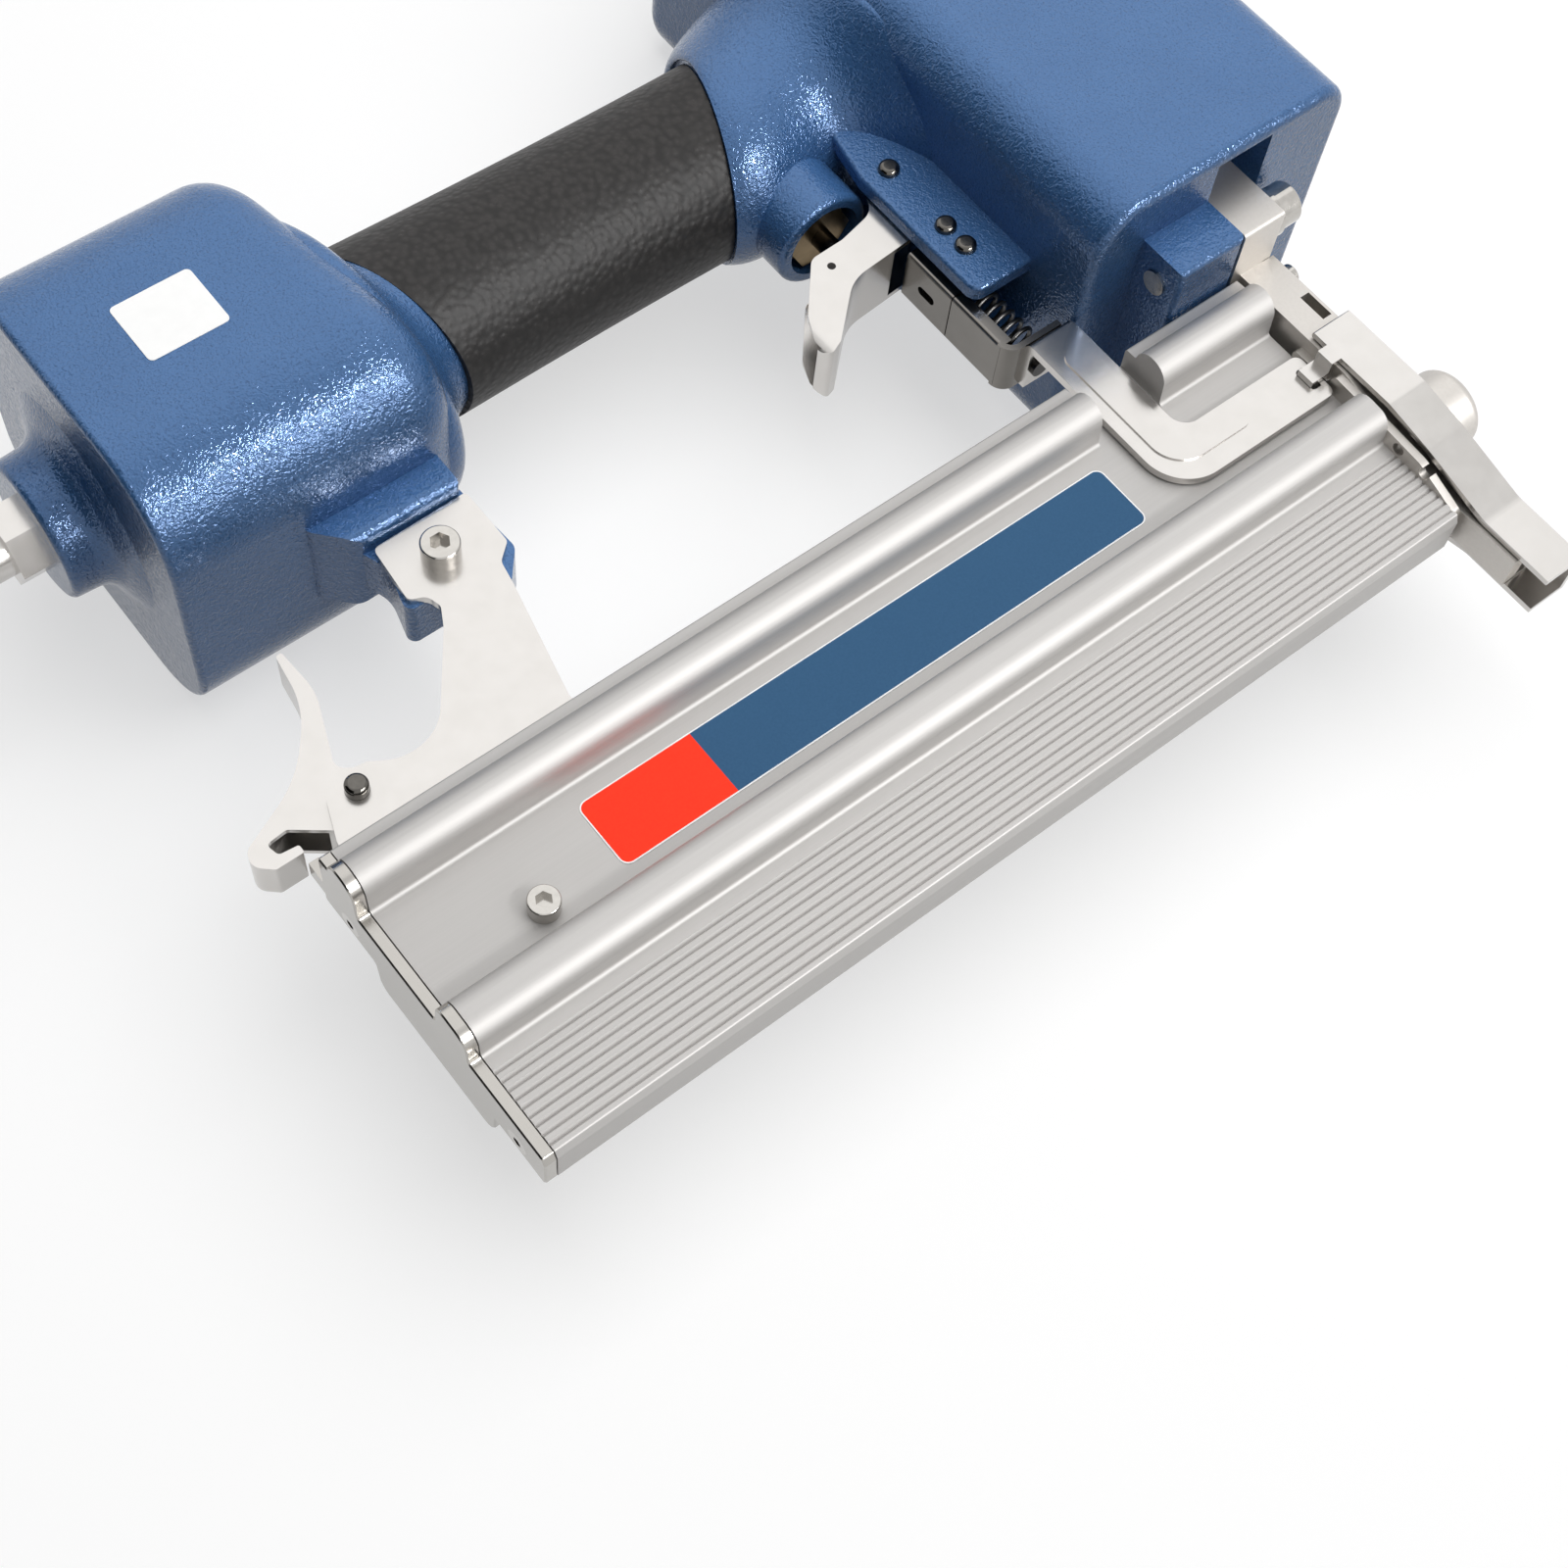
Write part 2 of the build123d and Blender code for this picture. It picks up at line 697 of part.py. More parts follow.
# Nose
def nose_section(extra, top, tip):
    """Front view of the nose in (y, z), wide above and narrow at the tip."""
    wide = nose_half_width + extra
    narrow = tip_half_width + extra
    shoulder = wide - 2.2
    edge = [
        (top, wide, 0),
        (nose_shoulder, wide, 4.0),
        (nose_shoulder - nose_step, shoulder, 6.0),
        (nose_shoulder - nose_waist, narrow, 10.0),
        (tip, narrow, 0),
    ]
    return outline(*edge, *[(y, -z, r) for y, z, r in reversed(edge)])


def make_nose_guide():
    """Driver guide: mounting block, long guide with the blade channel, and the nail inlet slot."""
    flange = block(block_rear, block_front, lug_bottom, block_top, -block_half_width, block_half_width)
    flange = fillet(flange.edges().filter_by(Axis.X), 1.0)
    guide = flange + along_x(nose_section(0.0, lug_bottom, nose_tip), guide_rear, guide_front)
    half = blade_width / 2 + blade_clear
    guide -= block(channel_rear, guide_front, nose_tip - 1, block_top + 1, -half, half)
    inlet_low = channel_bottom + 1
    inlet_high = channel_top - 1
    guide -= block(guide_rear - 1, channel_rear + 1, inlet_low, inlet_high, -gap_half, gap_half)
    for side in (-1, 1):
        guide -= rod_x(nose_screw_radius + pin_clear, block_rear, block_front, screw_y, side * screw_z)
    return guide


def front_screw_places():
    return [(lug_bottom - 4.5, side * (nose_half_width - 4.2)) for side in (-1, 1)]


def make_nose_front():
    front = along_x(nose_section(0.0, lug_bottom - seat_clear, nose_tip), guide_front, front_face)
    front = chamfer(front.faces().sort_by(Axis.Y)[0].edges().group_by(Axis.X)[-1], 2.0)
    for y, z in front_screw_places():
        front -= rod_x(small_screw_radius + pin_clear, guide_front, front_face, y, z)
    return front - make_sight_slot()


def make_sight_slot():
    """Window in the front plate's right side, open to the blade channel."""
    low = shoe_top + 2
    deep = blade_width / 2
    return block(guide_front, front_face - 0.8, low, low + sight_length, deep, nose_half_width + 1)


def make_front_screws():
    seats = [(front_face, y, z) for y, z in front_screw_places()]
    return [socket_screw(seat, (1, 0, 0), small_screw_radius, front_plate_thickness) for seat in seats]


def make_rear_plate():
    """Plate between the magazine's front end and the driver guide, forked for the nails."""
    top = field_top - 7.5
    ear_low = ear_place()[2] - show_gap
    slim = ear_level() - show_gap
    edge = [
        (top, slim, 1.0),
        (ear_low, slim, 0.5),
        (ear_low - 1.5, rear_plate_half, 1.0),
        (nose_shoulder - nose_step, rear_plate_half - 0.5, 8.0),
        (nose_shoulder - nose_waist + 4.0, 9.2, 6.0),
        (magazine_bottom + 1.5, 4.6, 1.5),
    ]
    face = outline(*edge, *[(y, -z, r) for y, z, r in reversed(edge)])
    plate = along_x(face, magazine_length, guide_rear)
    plate -= block(magazine_length, guide_rear, channel_bottom + 1, top + 1, -gap_half, gap_half)
    for y in (field_bottom - 15, field_bottom - 23):
        for side in (-1, 1):
            plate -= rod_x(small_screw_radius, magazine_length, guide_rear, y, side * 7.6)
    return plate


def make_nose_washers():
    outer = nose_screw_radius * 1.9
    hole = nose_screw_radius + pin_clear
    washer = rod_x(outer, block_front, block_front + washer_thickness, screw_y)
    washer -= rod_x(hole, block_front, block_front + washer_thickness, screw_y)
    return [Pos(0, 0, side * screw_z) * washer for side in (-1, 1)]


def make_nose_screws():
    head = block_front + washer_thickness
    reach = head - block_rear + lug_length + 0.7
    seats = [(head, screw_y, side * screw_z) for side in (-1, 1)]
    return [socket_screw(seat, (1, 0, 0), nose_screw_radius, reach) for seat in seats]


# Magazine
def ridge_corners():
    """Right-hand outside of the magazine from its top edge to its bottom edge, in (y, z)."""
    ridge_top = magazine_top - top_lip_width
    ridge2 = field_bottom - lower_ridge_width
    return [
        (magazine_top, top_lip_face, 0.6),
        (ridge_top, top_lip_face + 0.3, 0.4),
        (ridge_top - 0.8, upper_ridge_top, 4.5),
        (field_top + 0.6, upper_ridge_top - 0.4, 5.0),
        (field_top, field_face, 1.0),
        (field_bottom, field_face, 1.0),
        (field_bottom - 0.6, lower_ridge_top, 3.5),
        (ridge2 + 0.5, lower_ridge_top - 0.6, 4.0),
        (ridge2, field_face, 1.0),
        (magazine_bottom + 0.9, field_face, 0.5),
        (magazine_bottom, field_face - 2.2, 0.5),
    ]


def make_fixed_magazine():
    """Channel extrusion: ridged outside, nail gap inside, and lips that hold the sliding half."""
    inner = [
        (magazine_bottom, lip_outer, 0.5),
        (channel_bottom + 4, lip_outer, 0),
        (channel_bottom + 4, lip_inner, 0),
        (channel_bottom, lip_inner, 0),
        (channel_bottom, -gap_half + slide_clear, 0),
        (channel_bottom + rail_depth, -gap_half + slide_clear, 0),
        (channel_bottom + rail_depth, gap_half, 0),
        (channel_top - rail_depth, gap_half, 0),
        (channel_top - rail_depth, -gap_half + slide_clear, 0),
        (channel_top, -gap_half + slide_clear, 0),
        (channel_top, lip_inner, 0),
        (channel_top - 4, lip_inner, 0),
        (channel_top - 4, lip_outer, 0),
        (magazine_top, lip_outer, 0.5),
    ]
    section = outline(*ridge_corners(), *inner)
    first = magazine_bottom + 2.6
    for index in range(groove_count):
        y = first + index * groove_pitch
        half = groove_width / 2
        corners = [(y - half, field_face), (y + half, field_face), (y, field_face - groove_depth)]
        section -= Polygon(*corners, align=None)
    magazine = along_x(section, slide_clear, magazine_length)
    gate_top = magazine_top + 1
    gate_high = upper_ridge_top + 1
    magazine -= block(bar_gate_rear, bar_gate_front, field_top - 1, gate_top, field_face, gate_high)
    magazine -= block(0, lug_screw_x + 1.7, slot_floor, magazine_top + 1, bracket_low, bracket_high)
    return magazine - rod_z(stop_screw_radius + pin_clear, 0, field_face + 1, *stop_place())


def stop_place():
    return (lug_screw_x - 29, field_bottom + 6.5)


def make_sliding_magazine():
    """Left half of the magazine with the hollow bulge that houses the pusher."""
    edge_top = channel_top - slide_clear
    edge_bottom = channel_bottom + slide_clear
    bulge_face = slide_face - bulge_depth
    section = outline(
        (edge_top, -gap_half, 0),
        (bulge_top - bulge_wall, -gap_half, 0),
        (bulge_top - bulge_wall, bulge_face + bulge_wall, 2.0),
        (bulge_bottom + bulge_wall, bulge_face + bulge_wall, 2.0),
        (bulge_bottom + bulge_wall, -gap_half, 0),
        (edge_bottom, -gap_half, 0),
        (edge_bottom, slide_face, 0),
        (bulge_bottom, slide_face, 1.0),
        (bulge_bottom, bulge_face, 3.5),
        (bulge_top, bulge_face, 3.5),
        (bulge_top, slide_face, 1.0),
        (edge_top, slide_face, 0),
    )
    magazine = along_x(section, 0.0, magazine_length - slide_clear)
    for x, y, z in end_screw_seats():
        magazine -= rod_x(small_screw_radius + pin_clear, 0.0, 8.0, y, z)
    return magazine


def end_screw_seats():
    z = slide_face + slide_thickness / 2
    return [(-end_plate_thickness, y, z) for y in (magazine_top - 9, magazine_bottom + 9)]


def make_end_plate():
    """Rear cover of the sliding half, with the tab that the latch holds."""
    bulge_face = slide_face - bulge_depth
    back = [
        (magazine_bottom, lip_outer, 1.0),
        (bulge_bottom - 1.0, lip_outer, 1.0),
        (bulge_bottom, bulge_face - 0.5, 3.5),
        (bulge_top, bulge_face - 0.5, 3.5),
        (bulge_top + 1.0, lip_outer, 1.0),
        (magazine_top, lip_outer, 1.0),
    ]
    plate = along_x(outline(*ridge_corners(), *back), -end_plate_thickness, 0.0)
    plate = chamfer(plate.faces().sort_by(Axis.X)[0].edges(), end_plate_edge)
    plate += block(-end_plate_thickness, -slide_clear, magazine_top - 3, catch_top, -3.5, 1.5)
    for place in end_screw_seats():
        plate -= flush_screw(place, (-1, 0, 0), small_screw_radius, end_plate_thickness + 1, pin_clear)
    return plate


def make_end_screws():
    length = end_plate_thickness + end_screw_bite
    return [flush_screw(place, (-1, 0, 0), small_screw_radius, length) for place in end_screw_seats()]


def make_pusher():
    """Block that runs in the bulge and the follower blade that stands in the nail gap."""
    front = magazine_length - 1.0
    rear = front - pusher_length
    top = bulge_top - bulge_wall - slide_clear
    bottom = bulge_bottom + bulge_wall + slide_clear
    low = slide_face - bulge_depth + bulge_wall + slide_clear
    body = block(rear, front, bottom, top, low, -gap_half + slide_clear)
    body = fillet(body.edges().filter_by(Axis.X).group_by(Axis.Z)[0], 2.2)
    middle = (bulge_top + bulge_bottom) / 2
    reel = rod_z(reel_radius + 0.5, low - 1, 1 - gap_half, rear + reel_radius + 1, middle)
    tail_half = reel_radius + 0.5
    tail_front = rear + reel_radius + 1
    tail = block(rear - 1, tail_front, middle - tail_half, middle + tail_half, low - 1, 1 - gap_half)
    follower_top = channel_top - rail_depth - slide_clear
    follower_bottom = channel_bottom + rail_depth + slide_clear
    half = gap_half - slide_clear
    follower = block(rear, front, follower_bottom, follower_top, -half, half)
    return body - reel - tail + follower


def make_pusher_spring():
    """Rolled steel ribbon in the pusher's recess."""
    rear = magazine_length - 1.0 - pusher_length
    middle = (bulge_top + bulge_bottom) / 2
    low = slide_face - bulge_depth + bulge_wall + slide_clear
    high = -gap_half - 0.5
    roll = rod_z(reel_radius, low, high, rear + reel_radius + 1, middle)
    return roll - rod_z(reel_radius - 2.5, low, high, rear + reel_radius + 1, middle)


def make_stop_screw():
    return socket_screw((*stop_place(), field_face), (0, 0, 1), stop_screw_radius, field_face - gap_half)


# Rear bracket and latch
def make_bracket():
    """Plate from the chamber's lug to the magazine, with bites at the lug and an eye for the latch."""
    x = lug_screw_x
    y = lug_screw_y
    px = latch_pin_x
    py = latch_pin_y
    face = outline(
        (x - 10.4, y + 9.3, 1.5),
        (x + 13.0, y + 9.9, 1.0),
        (x + 13.0, y - 5.0, 1.5),
        (x + 9.0, y - 8.4, 2.5),
        (x + 8.0, y - 14.0, 1.0),
        (x + 1.7, magazine_top + 2.5, 0),
        (x + 1.7, slot_floor, 1.0),
        (px - 9.5, slot_floor, 1.0),
        (px - 9.5, magazine_top + 2.0, 1.5),
        (px - 4.6, py + 5.4, 5.0),
        (px + 5.0, py + 4.0, 2.0),
        (px + 16.6, py - 3.5, 12.0),
        (x - 9.5, y - 14.6, 3.0),
        (x - 7.0, y - 10.0, 2.0),
        (x - 8.0, y - 6.6, 2.5),
        (x - 11.6, y - 5.0, 1.5),
    )
    plate = along_z(face, bracket_low, bracket_high)
    plate -= rod_z(bracket_screw_radius + pin_clear, bracket_low, bracket_high, x, y)
    return plate - rod_z(pin_radius + pin_clear, bracket_low, bracket_high, px, py)


def make_bracket_screw():
    place = (lug_screw_x, lug_screw_y, bracket_high)
    return socket_screw(place, (0, 0, 1), bracket_screw_radius, bracket_plate + bracket_lug_half * 2 - 1)


def make_latch():
    """Folded latch lever: finger tab, two cheeks around the pin and a hook behind the end plate's tab."""
    x = latch_pin_x
    y = latch_pin_y
    high = bracket_low - slide_clear
    low = high - latch_width
    hook = (catch_top + slide_clear - y) / latch_reach * 100
    sheet = latch_sheet / latch_reach * 100
    spine = [
        (11.5, 99.5, 2.8),
        (6.5, 63.0, 65.0),
        (-22.0, 27.0, 80.0),
        (-66.7, 6.5, 8.3),
        (-69.4, -3.3, 8.3),
        (-59.7, hook, 2.8),
        (-42.0, hook, 1.4),
    ]
    mouth = [
        (-42.0, hook + 5.3, 1.4),
        (-54.0, hook + 6.7, 2.8),
        (-56.1, 3.6, 2.8),
        (-42.5, 5.0, 4.2),
        (-22.0, -10.6, 1.4),
    ]
    eye = [
        (-13.9, -15.6, 2.8),
        (15.0, -15.0, 12.5),
        (15.6, 10.0, 11.1),
        (-1.0, 21.0, 7.0),
        (17.5, 68.0, 45.0),
        (15.5, 99.5, 2.0),
    ]
    latch = along_z(lever_outline(x, y, latch_reach, *spine, *mouth, *eye), low, high)
    pocket = [
        (12.2, 75.0, 0),
        (10.3, 61.4, 61.0),
        (-19.5, 23.8, 76.0),
        (-63.1, 3.8, 5.6),
        (-65.0, -2.2, 5.6),
        (-57.8, hook + sheet, 2.8),
        (33.3, hook + sheet, 0),
        (33.3, 75.0, 0),
    ]
    inner_low = low + latch_sheet
    inner_high = high - latch_sheet
    latch -= along_z(lever_outline(x, y, latch_reach, *pocket), inner_low, inner_high)
    latch -= block(x - 4, x + 12, y - 8, y + 5, inner_low, inner_high)
    return latch - rod_z(pin_radius + pin_clear, low, high, x, y)


def make_latch_pin():
    low = bracket_low - slide_clear - latch_width - 1.0
    return domed_pin(pin_radius, low, bracket_high + 3.0, latch_pin_x, latch_pin_y)


def make_latch_spring():
    high = bracket_low - slide_clear - latch_sheet - 0.6
    length = latch_width - 2 * latch_sheet - 1.2
    return coil((latch_pin_x, latch_pin_y, high - length), (0, 0, 1), pin_radius + 1.0, 0.9, length, 5)


# Trigger and its valve
def make_trigger():
    """Folded finger lever: two cheeks, a concave finger web and a rounded thin tip."""
    x = trigger_pin_x
    y = trigger_pin_y
    width = trigger_half_width
    reach = trigger_reach
    side = lever_outline(
        x,
        y,
        reach,
        (12.6, -13.1, 7.1),
        (12.6, 11.4, 9.5),
        (-8.1, 11.4, 8.3),
        (-20.0, -11.0, 14.3),
        (-44.8, -16.7, 14.3),
        (-66.7, -17.6, 8.3),
        (-91.9, -46.4, 19.0),
        (-100.0, -65.2, 7.1),
        (-95.7, -71.9, 2.9),
        (-88.1, -69.0, 2.9),
        (-57.1, -41.0, 28.6),
        (-11.9, -37.1, 7.1),
    )
    tip_round = rounded_section(x - reach - 2, x + reach, width, tip_corner, 0)
    trigger = along_z(side, -width, width) & along_y(tip_round, y - reach, y + reach)
    inner = width - trigger_sheet
    pocket = lever_outline(
        x,
        y,
        reach,
        (19.0, -42.9, 0.0),
        (19.0, 19.0, 0.0),
        (-57.1, 19.0, 0.0),
        (-114.3, -47.6, 0.0),
        (-95.7, -67.6, 0.0),
        (-88.6, -65.2, 0.0),
        (-58.6, -37.9, 28.6),
        (-26.2, -34.8, 0.0),
        (-25.2, -42.9, 0.0),
    )
    trigger -= along_z(pocket, -inner, inner)
    trigger -= rod_z(pin_radius + pin_clear, -trigger_half_width, trigger_half_width, x, y)
    return trigger - rod_z(trip_pin_radius, -trigger_half_width, trigger_half_width, *trip_place())


def trip_place():
    return (trigger_pin_x - trip_reach, trigger_pin_y - trip_drop)


def make_trip_pin():
    x, y = trip_place()
    return rod_z(trip_pin_radius, -trigger_half_width, trigger_half_width, x, y)


def stem_foot():
    return trip_place()[1] + 3.6


def make_trip_lever():
    """Small lever under the valve stem, turning on its pin inside the trigger."""
    x, y = trip_place()
    half = trigger_half_width - trigger_sheet - slide_clear - 1.5
    reach = valve_x - x
    face = outline(
        (x - 2.4, y - 2.2, 2.0),
        (x + 2.4, y - 2.4, 1.0),
        (x + 16.6, y + 2.0, 0.5),
        (x + 16.6, y + 3.3, 0.5),
        (x + reach, y + 3.3, 1.0),
        (x - 2.4, y + 2.4, 2.0),
    )
    return along_z(face, -half, half) - rod_z(trip_pin_radius + pin_clear, -half, half, x, y)


def stem_flange():
    return valve_boss_end + valve_recess + 10.0


def make_trigger_valve():
    """Bronze valve body: hexagon in the boss, thread above it, stem guide and spring room inside."""
    low = valve_boss_end + valve_recess
    high = handle_y - 8
    body = along_y(Pos(valve_x, 0) * RegularPolygon(valve_hex_radius, 6), low, valve_boss_end + 8)
    body += rod_y(valve_body_radius, low + 2, high, valve_x)
    body -= rod_y(stem_radius + pin_clear, low, high - 2, valve_x)
    return body - rod_y(stem_chamber_radius, stem_flange() - slide_clear, high - 2, valve_x)


def make_valve_stem():
    stem = rod_y(stem_radius, stem_foot(), stem_flange() + 3.5, valve_x)
    stem = fillet(stem.edges().group_by(Axis.Y)[0], 0.8)
    return stem + rod_y(stem_chamber_radius - 1.0, stem_flange(), stem_flange() + 2, valve_x)


def make_valve_ring():
    outer = stem_chamber_radius - pin_clear
    return ring_y(outer, stem_chamber_radius - 1.0, stem_flange(), stem_flange() + 2, valve_x)


def make_valve_spring():
    low = stem_flange() + 2
    return coil((valve_x, low, 0), (0, 1, 0), stem_chamber_radius - 1.2, 0.8, handle_y - 10 - low, 4)


def make_trigger_pin():
    end = rib_half_gap + rib_thickness + 1.6
    return domed_pin(pin_radius, -end, end, trigger_pin_x, trigger_pin_y)


def make_guide_pins():
    end = rib_half_gap + rib_thickness + 1.6
    heights = [trigger_pin_y - drop for drop in guide_pin_drops]
    return [domed_pin(pin_radius, -end, end, trigger_pin_x, y) for y in heights]


# Contact safety
def yoke_channel(x0, y0, y1, half):
    """Folded channel, open forwards."""
    sheet = yoke_sheet
    channel = block(x0, x0 + 3.4, y0, y1, -half, half)
    channel -= block(x0 + sheet, x0 + 4, y0 - 1, y1 + 1, -half + sheet, half - sheet)
    return fillet(channel.edges().filter_by(Axis.Y).group_by(Axis.X)[0], 1.0)


def make_lower_yoke():
    """Lower channel, turned forward at its foot to carry the spring and the bar."""
    foot = bar_top + bar_plate
    top = rib_foot + 5.0
    channel = yoke_channel(yoke_rear, foot + 3, top, yoke_half_width)
    wall = outline(
        (yoke_rear, foot + 4, 0),
        (yoke_rear, foot, 5.0),
        (bar_rear + 10.5, foot, 0),
        (bar_rear + 10.5, foot + yoke_sheet, 0),
        (yoke_rear + yoke_sheet, foot + yoke_sheet, 3.5),
        (yoke_rear + yoke_sheet, foot + 4, 0),
    )
    yoke = channel + along_z(wall, -yoke_half_width, yoke_half_width)
    return yoke - rod_y(rivet_radius + pin_clear, foot, foot + yoke_sheet, trigger_pin_x)


def make_upper_yoke():
    """Upper channel with an adjusting slot; its tongue lies inside the lower channel."""
    low = rib_foot + 5.0 + slide_clear
    high = trigger_pin_y - yoke_drop
    yoke = yoke_channel(yoke_rear, low, high, yoke_half_width)
    inner = yoke_half_width - yoke_sheet - seat_clear
    x0 = yoke_rear + yoke_sheet
    yoke += block(x0, x0 + yoke_sheet, low - 13, high - 1, -inner, inner)
    slot = SlotOverall(5.5, 2.4)
    return yoke - along_x(Pos((low + high) / 2, 0) * slot, yoke_rear, x0 + yoke_sheet)


def make_yoke_rivet():
    foot = bar_top + bar_plate
    shank = rod_y(rivet_radius, bar_top, foot + yoke_sheet, trigger_pin_x)
    shank += rod_y(pin_radius, bar_top - 1.2, bar_top, trigger_pin_x)
    return shank + rod_y(pin_radius, foot + yoke_sheet, foot + yoke_sheet + 1.2, trigger_pin_x)


def make_safety_bar():
    """Flat L-shaped bar with a folded top that hangs under the yoke and a slot for the shoe's ear."""
    front = bar_front
    corner_y = bar_foot + bar_foot_height
    inner_x = bar_rear + bar_leg_width
    face = outline(
        (bar_rear, bar_top, 0),
        (bar_rear, bar_foot, 11.0),
        (front, bar_foot, 2.0),
        (front, corner_y, 2.0),
        (inner_x, corner_y, 4.5),
        (inner_x, bar_top, 0),
    )
    high = bar_low + bar_plate
    bar = along_z(face, bar_low, high)
    fold = outline(
        (bar_top, 1 - yoke_half_width, 0),
        (bar_top + bar_plate, 1 - yoke_half_width, 0),
        (bar_top + bar_plate, high, bar_plate),
        (bar_top - 1, high, 0),
        (bar_top - 1, bar_low, 0),
        (bar_top, bar_low, 0.5),
    )
    bar += along_x(fold, bar_rear, inner_x)
    bar -= rod_y(rivet_radius + pin_clear, bar_top, bar_top + bar_plate, trigger_pin_x)
    bar += along_z(bead_face(), high, high + bead_height)
    x0, x1, y0, y1 = ear_place()
    slot = outline(
        (x0 - seat_clear, y0 - 0.8, 1.2),
        (x1 + 1.2, y0 - 0.8, 0.4),
        (x1 + 1.2, y1 + 0.8, 0.4),
        (x0 - seat_clear, y1 + 0.8, 1.2),
    )
    return bar - along_z(slot, bar_low, high)


def bead_face():
    """Stiffening bead pressed into the safety bar, following its bend."""
    rear = bar_rear + bead_margin
    front = rear + bead_width
    high = bar_foot + bar_foot_height - 0.6
    low = high - bead_width
    end = bar_rear + 27.0
    return outline(
        (rear, bar_top - 5.0, 3.0),
        (rear, low, 8.0),
        (end, low, 3.0),
        (end, high, 3.0),
        (front, high, 2.5),
        (front, bar_top - 5.0, 3.0),
    )


def ear_place():
    """Where the shoe's ear drops through the safety bar: rear x, front x, low y, high y."""
    rear = bar_front - 4.0
    low = bar_foot + (bar_foot_height - ear_width) / 2
    return (rear, rear + shoe_sheet, low, low + ear_width)


def ear_level():
    """Underside of the ear's strap, just above the safety bar."""
    return bar_low + bar_plate + slide_clear


def make_contact_shoe():
    """Folded sleeve around the nose, with an ear that hooks into the safety bar."""
    extra = slide_clear + shoe_sheet
    rear = guide_rear + 1.0
    inside = shoe_section(slide_clear, shoe_top + 1, shoe_tip - 1)
    shoe = along_x(shoe_section(extra, shoe_top, shoe_tip), rear, shoe_front)
    shoe -= along_x(inside, rear - 1, shoe_front - shoe_sheet)
    shoe = fillet(shoe.edges().filter_by(Axis.X).group_by(Axis.Y)[-1], 0.6)
    x0, x1, y0, y1 = ear_place()
    inner = nose_half_width + slide_clear
    strap_low = ear_level()
    strap_high = strap_low + shoe_sheet
    drop_front = guide_rear - slide_clear
    shoe += block(x0, x1, y0, y1, bar_low - 0.2, strap_high)
    shoe += block(x0, drop_front, y0, y1, strap_low, strap_high)
    shoe += block(drop_front - shoe_sheet, drop_front, y0, y1, strap_low, inner + shoe_sheet)
    return shoe + block(drop_front - shoe_sheet, rear + 2, y0, y1, inner, inner + shoe_sheet)


def shoe_section(extra, top, tip):
    """Front view of the shoe in (y, z): as the nose, but lower by the safety's travel."""
    wide = nose_half_width + extra
    narrow = tip_half_width + extra
    lower = safety_travel + 4.0
    edge = [
        (top, wide, 0),
        (nose_shoulder - lower, wide, 4.0),
        (nose_shoulder - nose_step - 2.0 - lower, wide - 2.2, 6.0),
        (nose_shoulder - nose_waist - 2.0 - lower, narrow, 10.0),
        (tip, narrow, 0),
    ]
    return outline(*edge, *[(y, -z, r) for y, z, r in reversed(edge)])


def make_shoe_boss():
    boss = rod_x(boss_radius, shoe_front, shoe_front + boss_length, field_bottom - boss_radius - 1.0)
    return fillet(boss.edges().group_by(Axis.X)[-1], 2.5)


def make_safety_spring():
    low = bar_top + bar_plate + yoke_sheet
    high = trigger_pin_y - guide_pin_drops[1] - pin_radius
    length = high - low - 0.2
    start = (trigger_pin_x, low, 0)
    return coil(start, (0, 1, 0), safety_spring_radius, safety_spring_wire, length, 7)


nodes = {
    "gun_body": make_gun_body(),
    "grip_sleeve": make_grip(),
    "air_plug": make_air_plug(),
    "cylinder_cap": make_cap(),
    "cap_gasket": make_cap_gasket(),
    "cap_screws": make_cap_screws(),
    "exhaust_deflector": make_deflector(),
    "deflector_screw": make_deflector_screw(),
    "cylinder_sleeve": make_sleeve(),
    "bumper": make_bumper(),
    "piston": make_piston(),
    "piston_ring": make_piston_ring(),
    "driver_blade": make_blade(),
    "head_valve": make_head_valve(),
    "head_valve_ring": make_head_valve_ring(),
    "head_valve_spring": make_head_valve_spring(),
    "nose_guide": make_nose_guide(),
    "nose_front": make_nose_front(),
    "front_screws": make_front_screws(),
    "nose_rear_plate": make_rear_plate(),
    "nose_washers": make_nose_washers(),
    "nose_screws": make_nose_screws(),
    "fixed_magazine": make_fixed_magazine(),
    "sliding_magazine": make_sliding_magazine(),
    "end_plate": make_end_plate(),
    "end_screws": make_end_screws(),
    "pusher": make_pusher(),
    "pusher_spring": make_pusher_spring(),
    "stop_screw": make_stop_screw(),
    "magazine_bracket": make_bracket(),
    "bracket_screw": make_bracket_screw(),
    "latch_lever": make_latch(),
    "latch_pin": make_latch_pin(),
    "latch_spring": make_latch_spring(),
    "trigger": make_trigger(),
    "trip_pin": make_trip_pin(),
    "trip_lever": make_trip_lever(),
    "trigger_valve": make_trigger_valve(),
    "valve_stem": make_valve_stem(),
    "valve_ring": make_valve_ring(),
    "valve_spring": make_valve_spring(),
    "trigger_pin": make_trigger_pin(),
    "guide_pins": make_guide_pins(),
    "lower_yoke": make_lower_yoke(),
    "upper_yoke": make_upper_yoke(),
    "yoke_rivet": make_yoke_rivet(),
    "safety_bar": make_safety_bar(),
    "contact_shoe": make_contact_shoe(),
    "shoe_boss": make_shoe_boss(),
    "safety_spring": make_safety_spring(),
}

# The finished tool lies on its left side with its origin under the middle of its outline.
rear_end = chamber_rear - inlet_reach - plug_reach
middle_x = (rear_end + head_front) / 2
middle_y = (shoe_tip + cap_top + deflector_height + small_screw_radius * 3) / 2
place = Location((-middle_x, -middle_y, body_half_width))

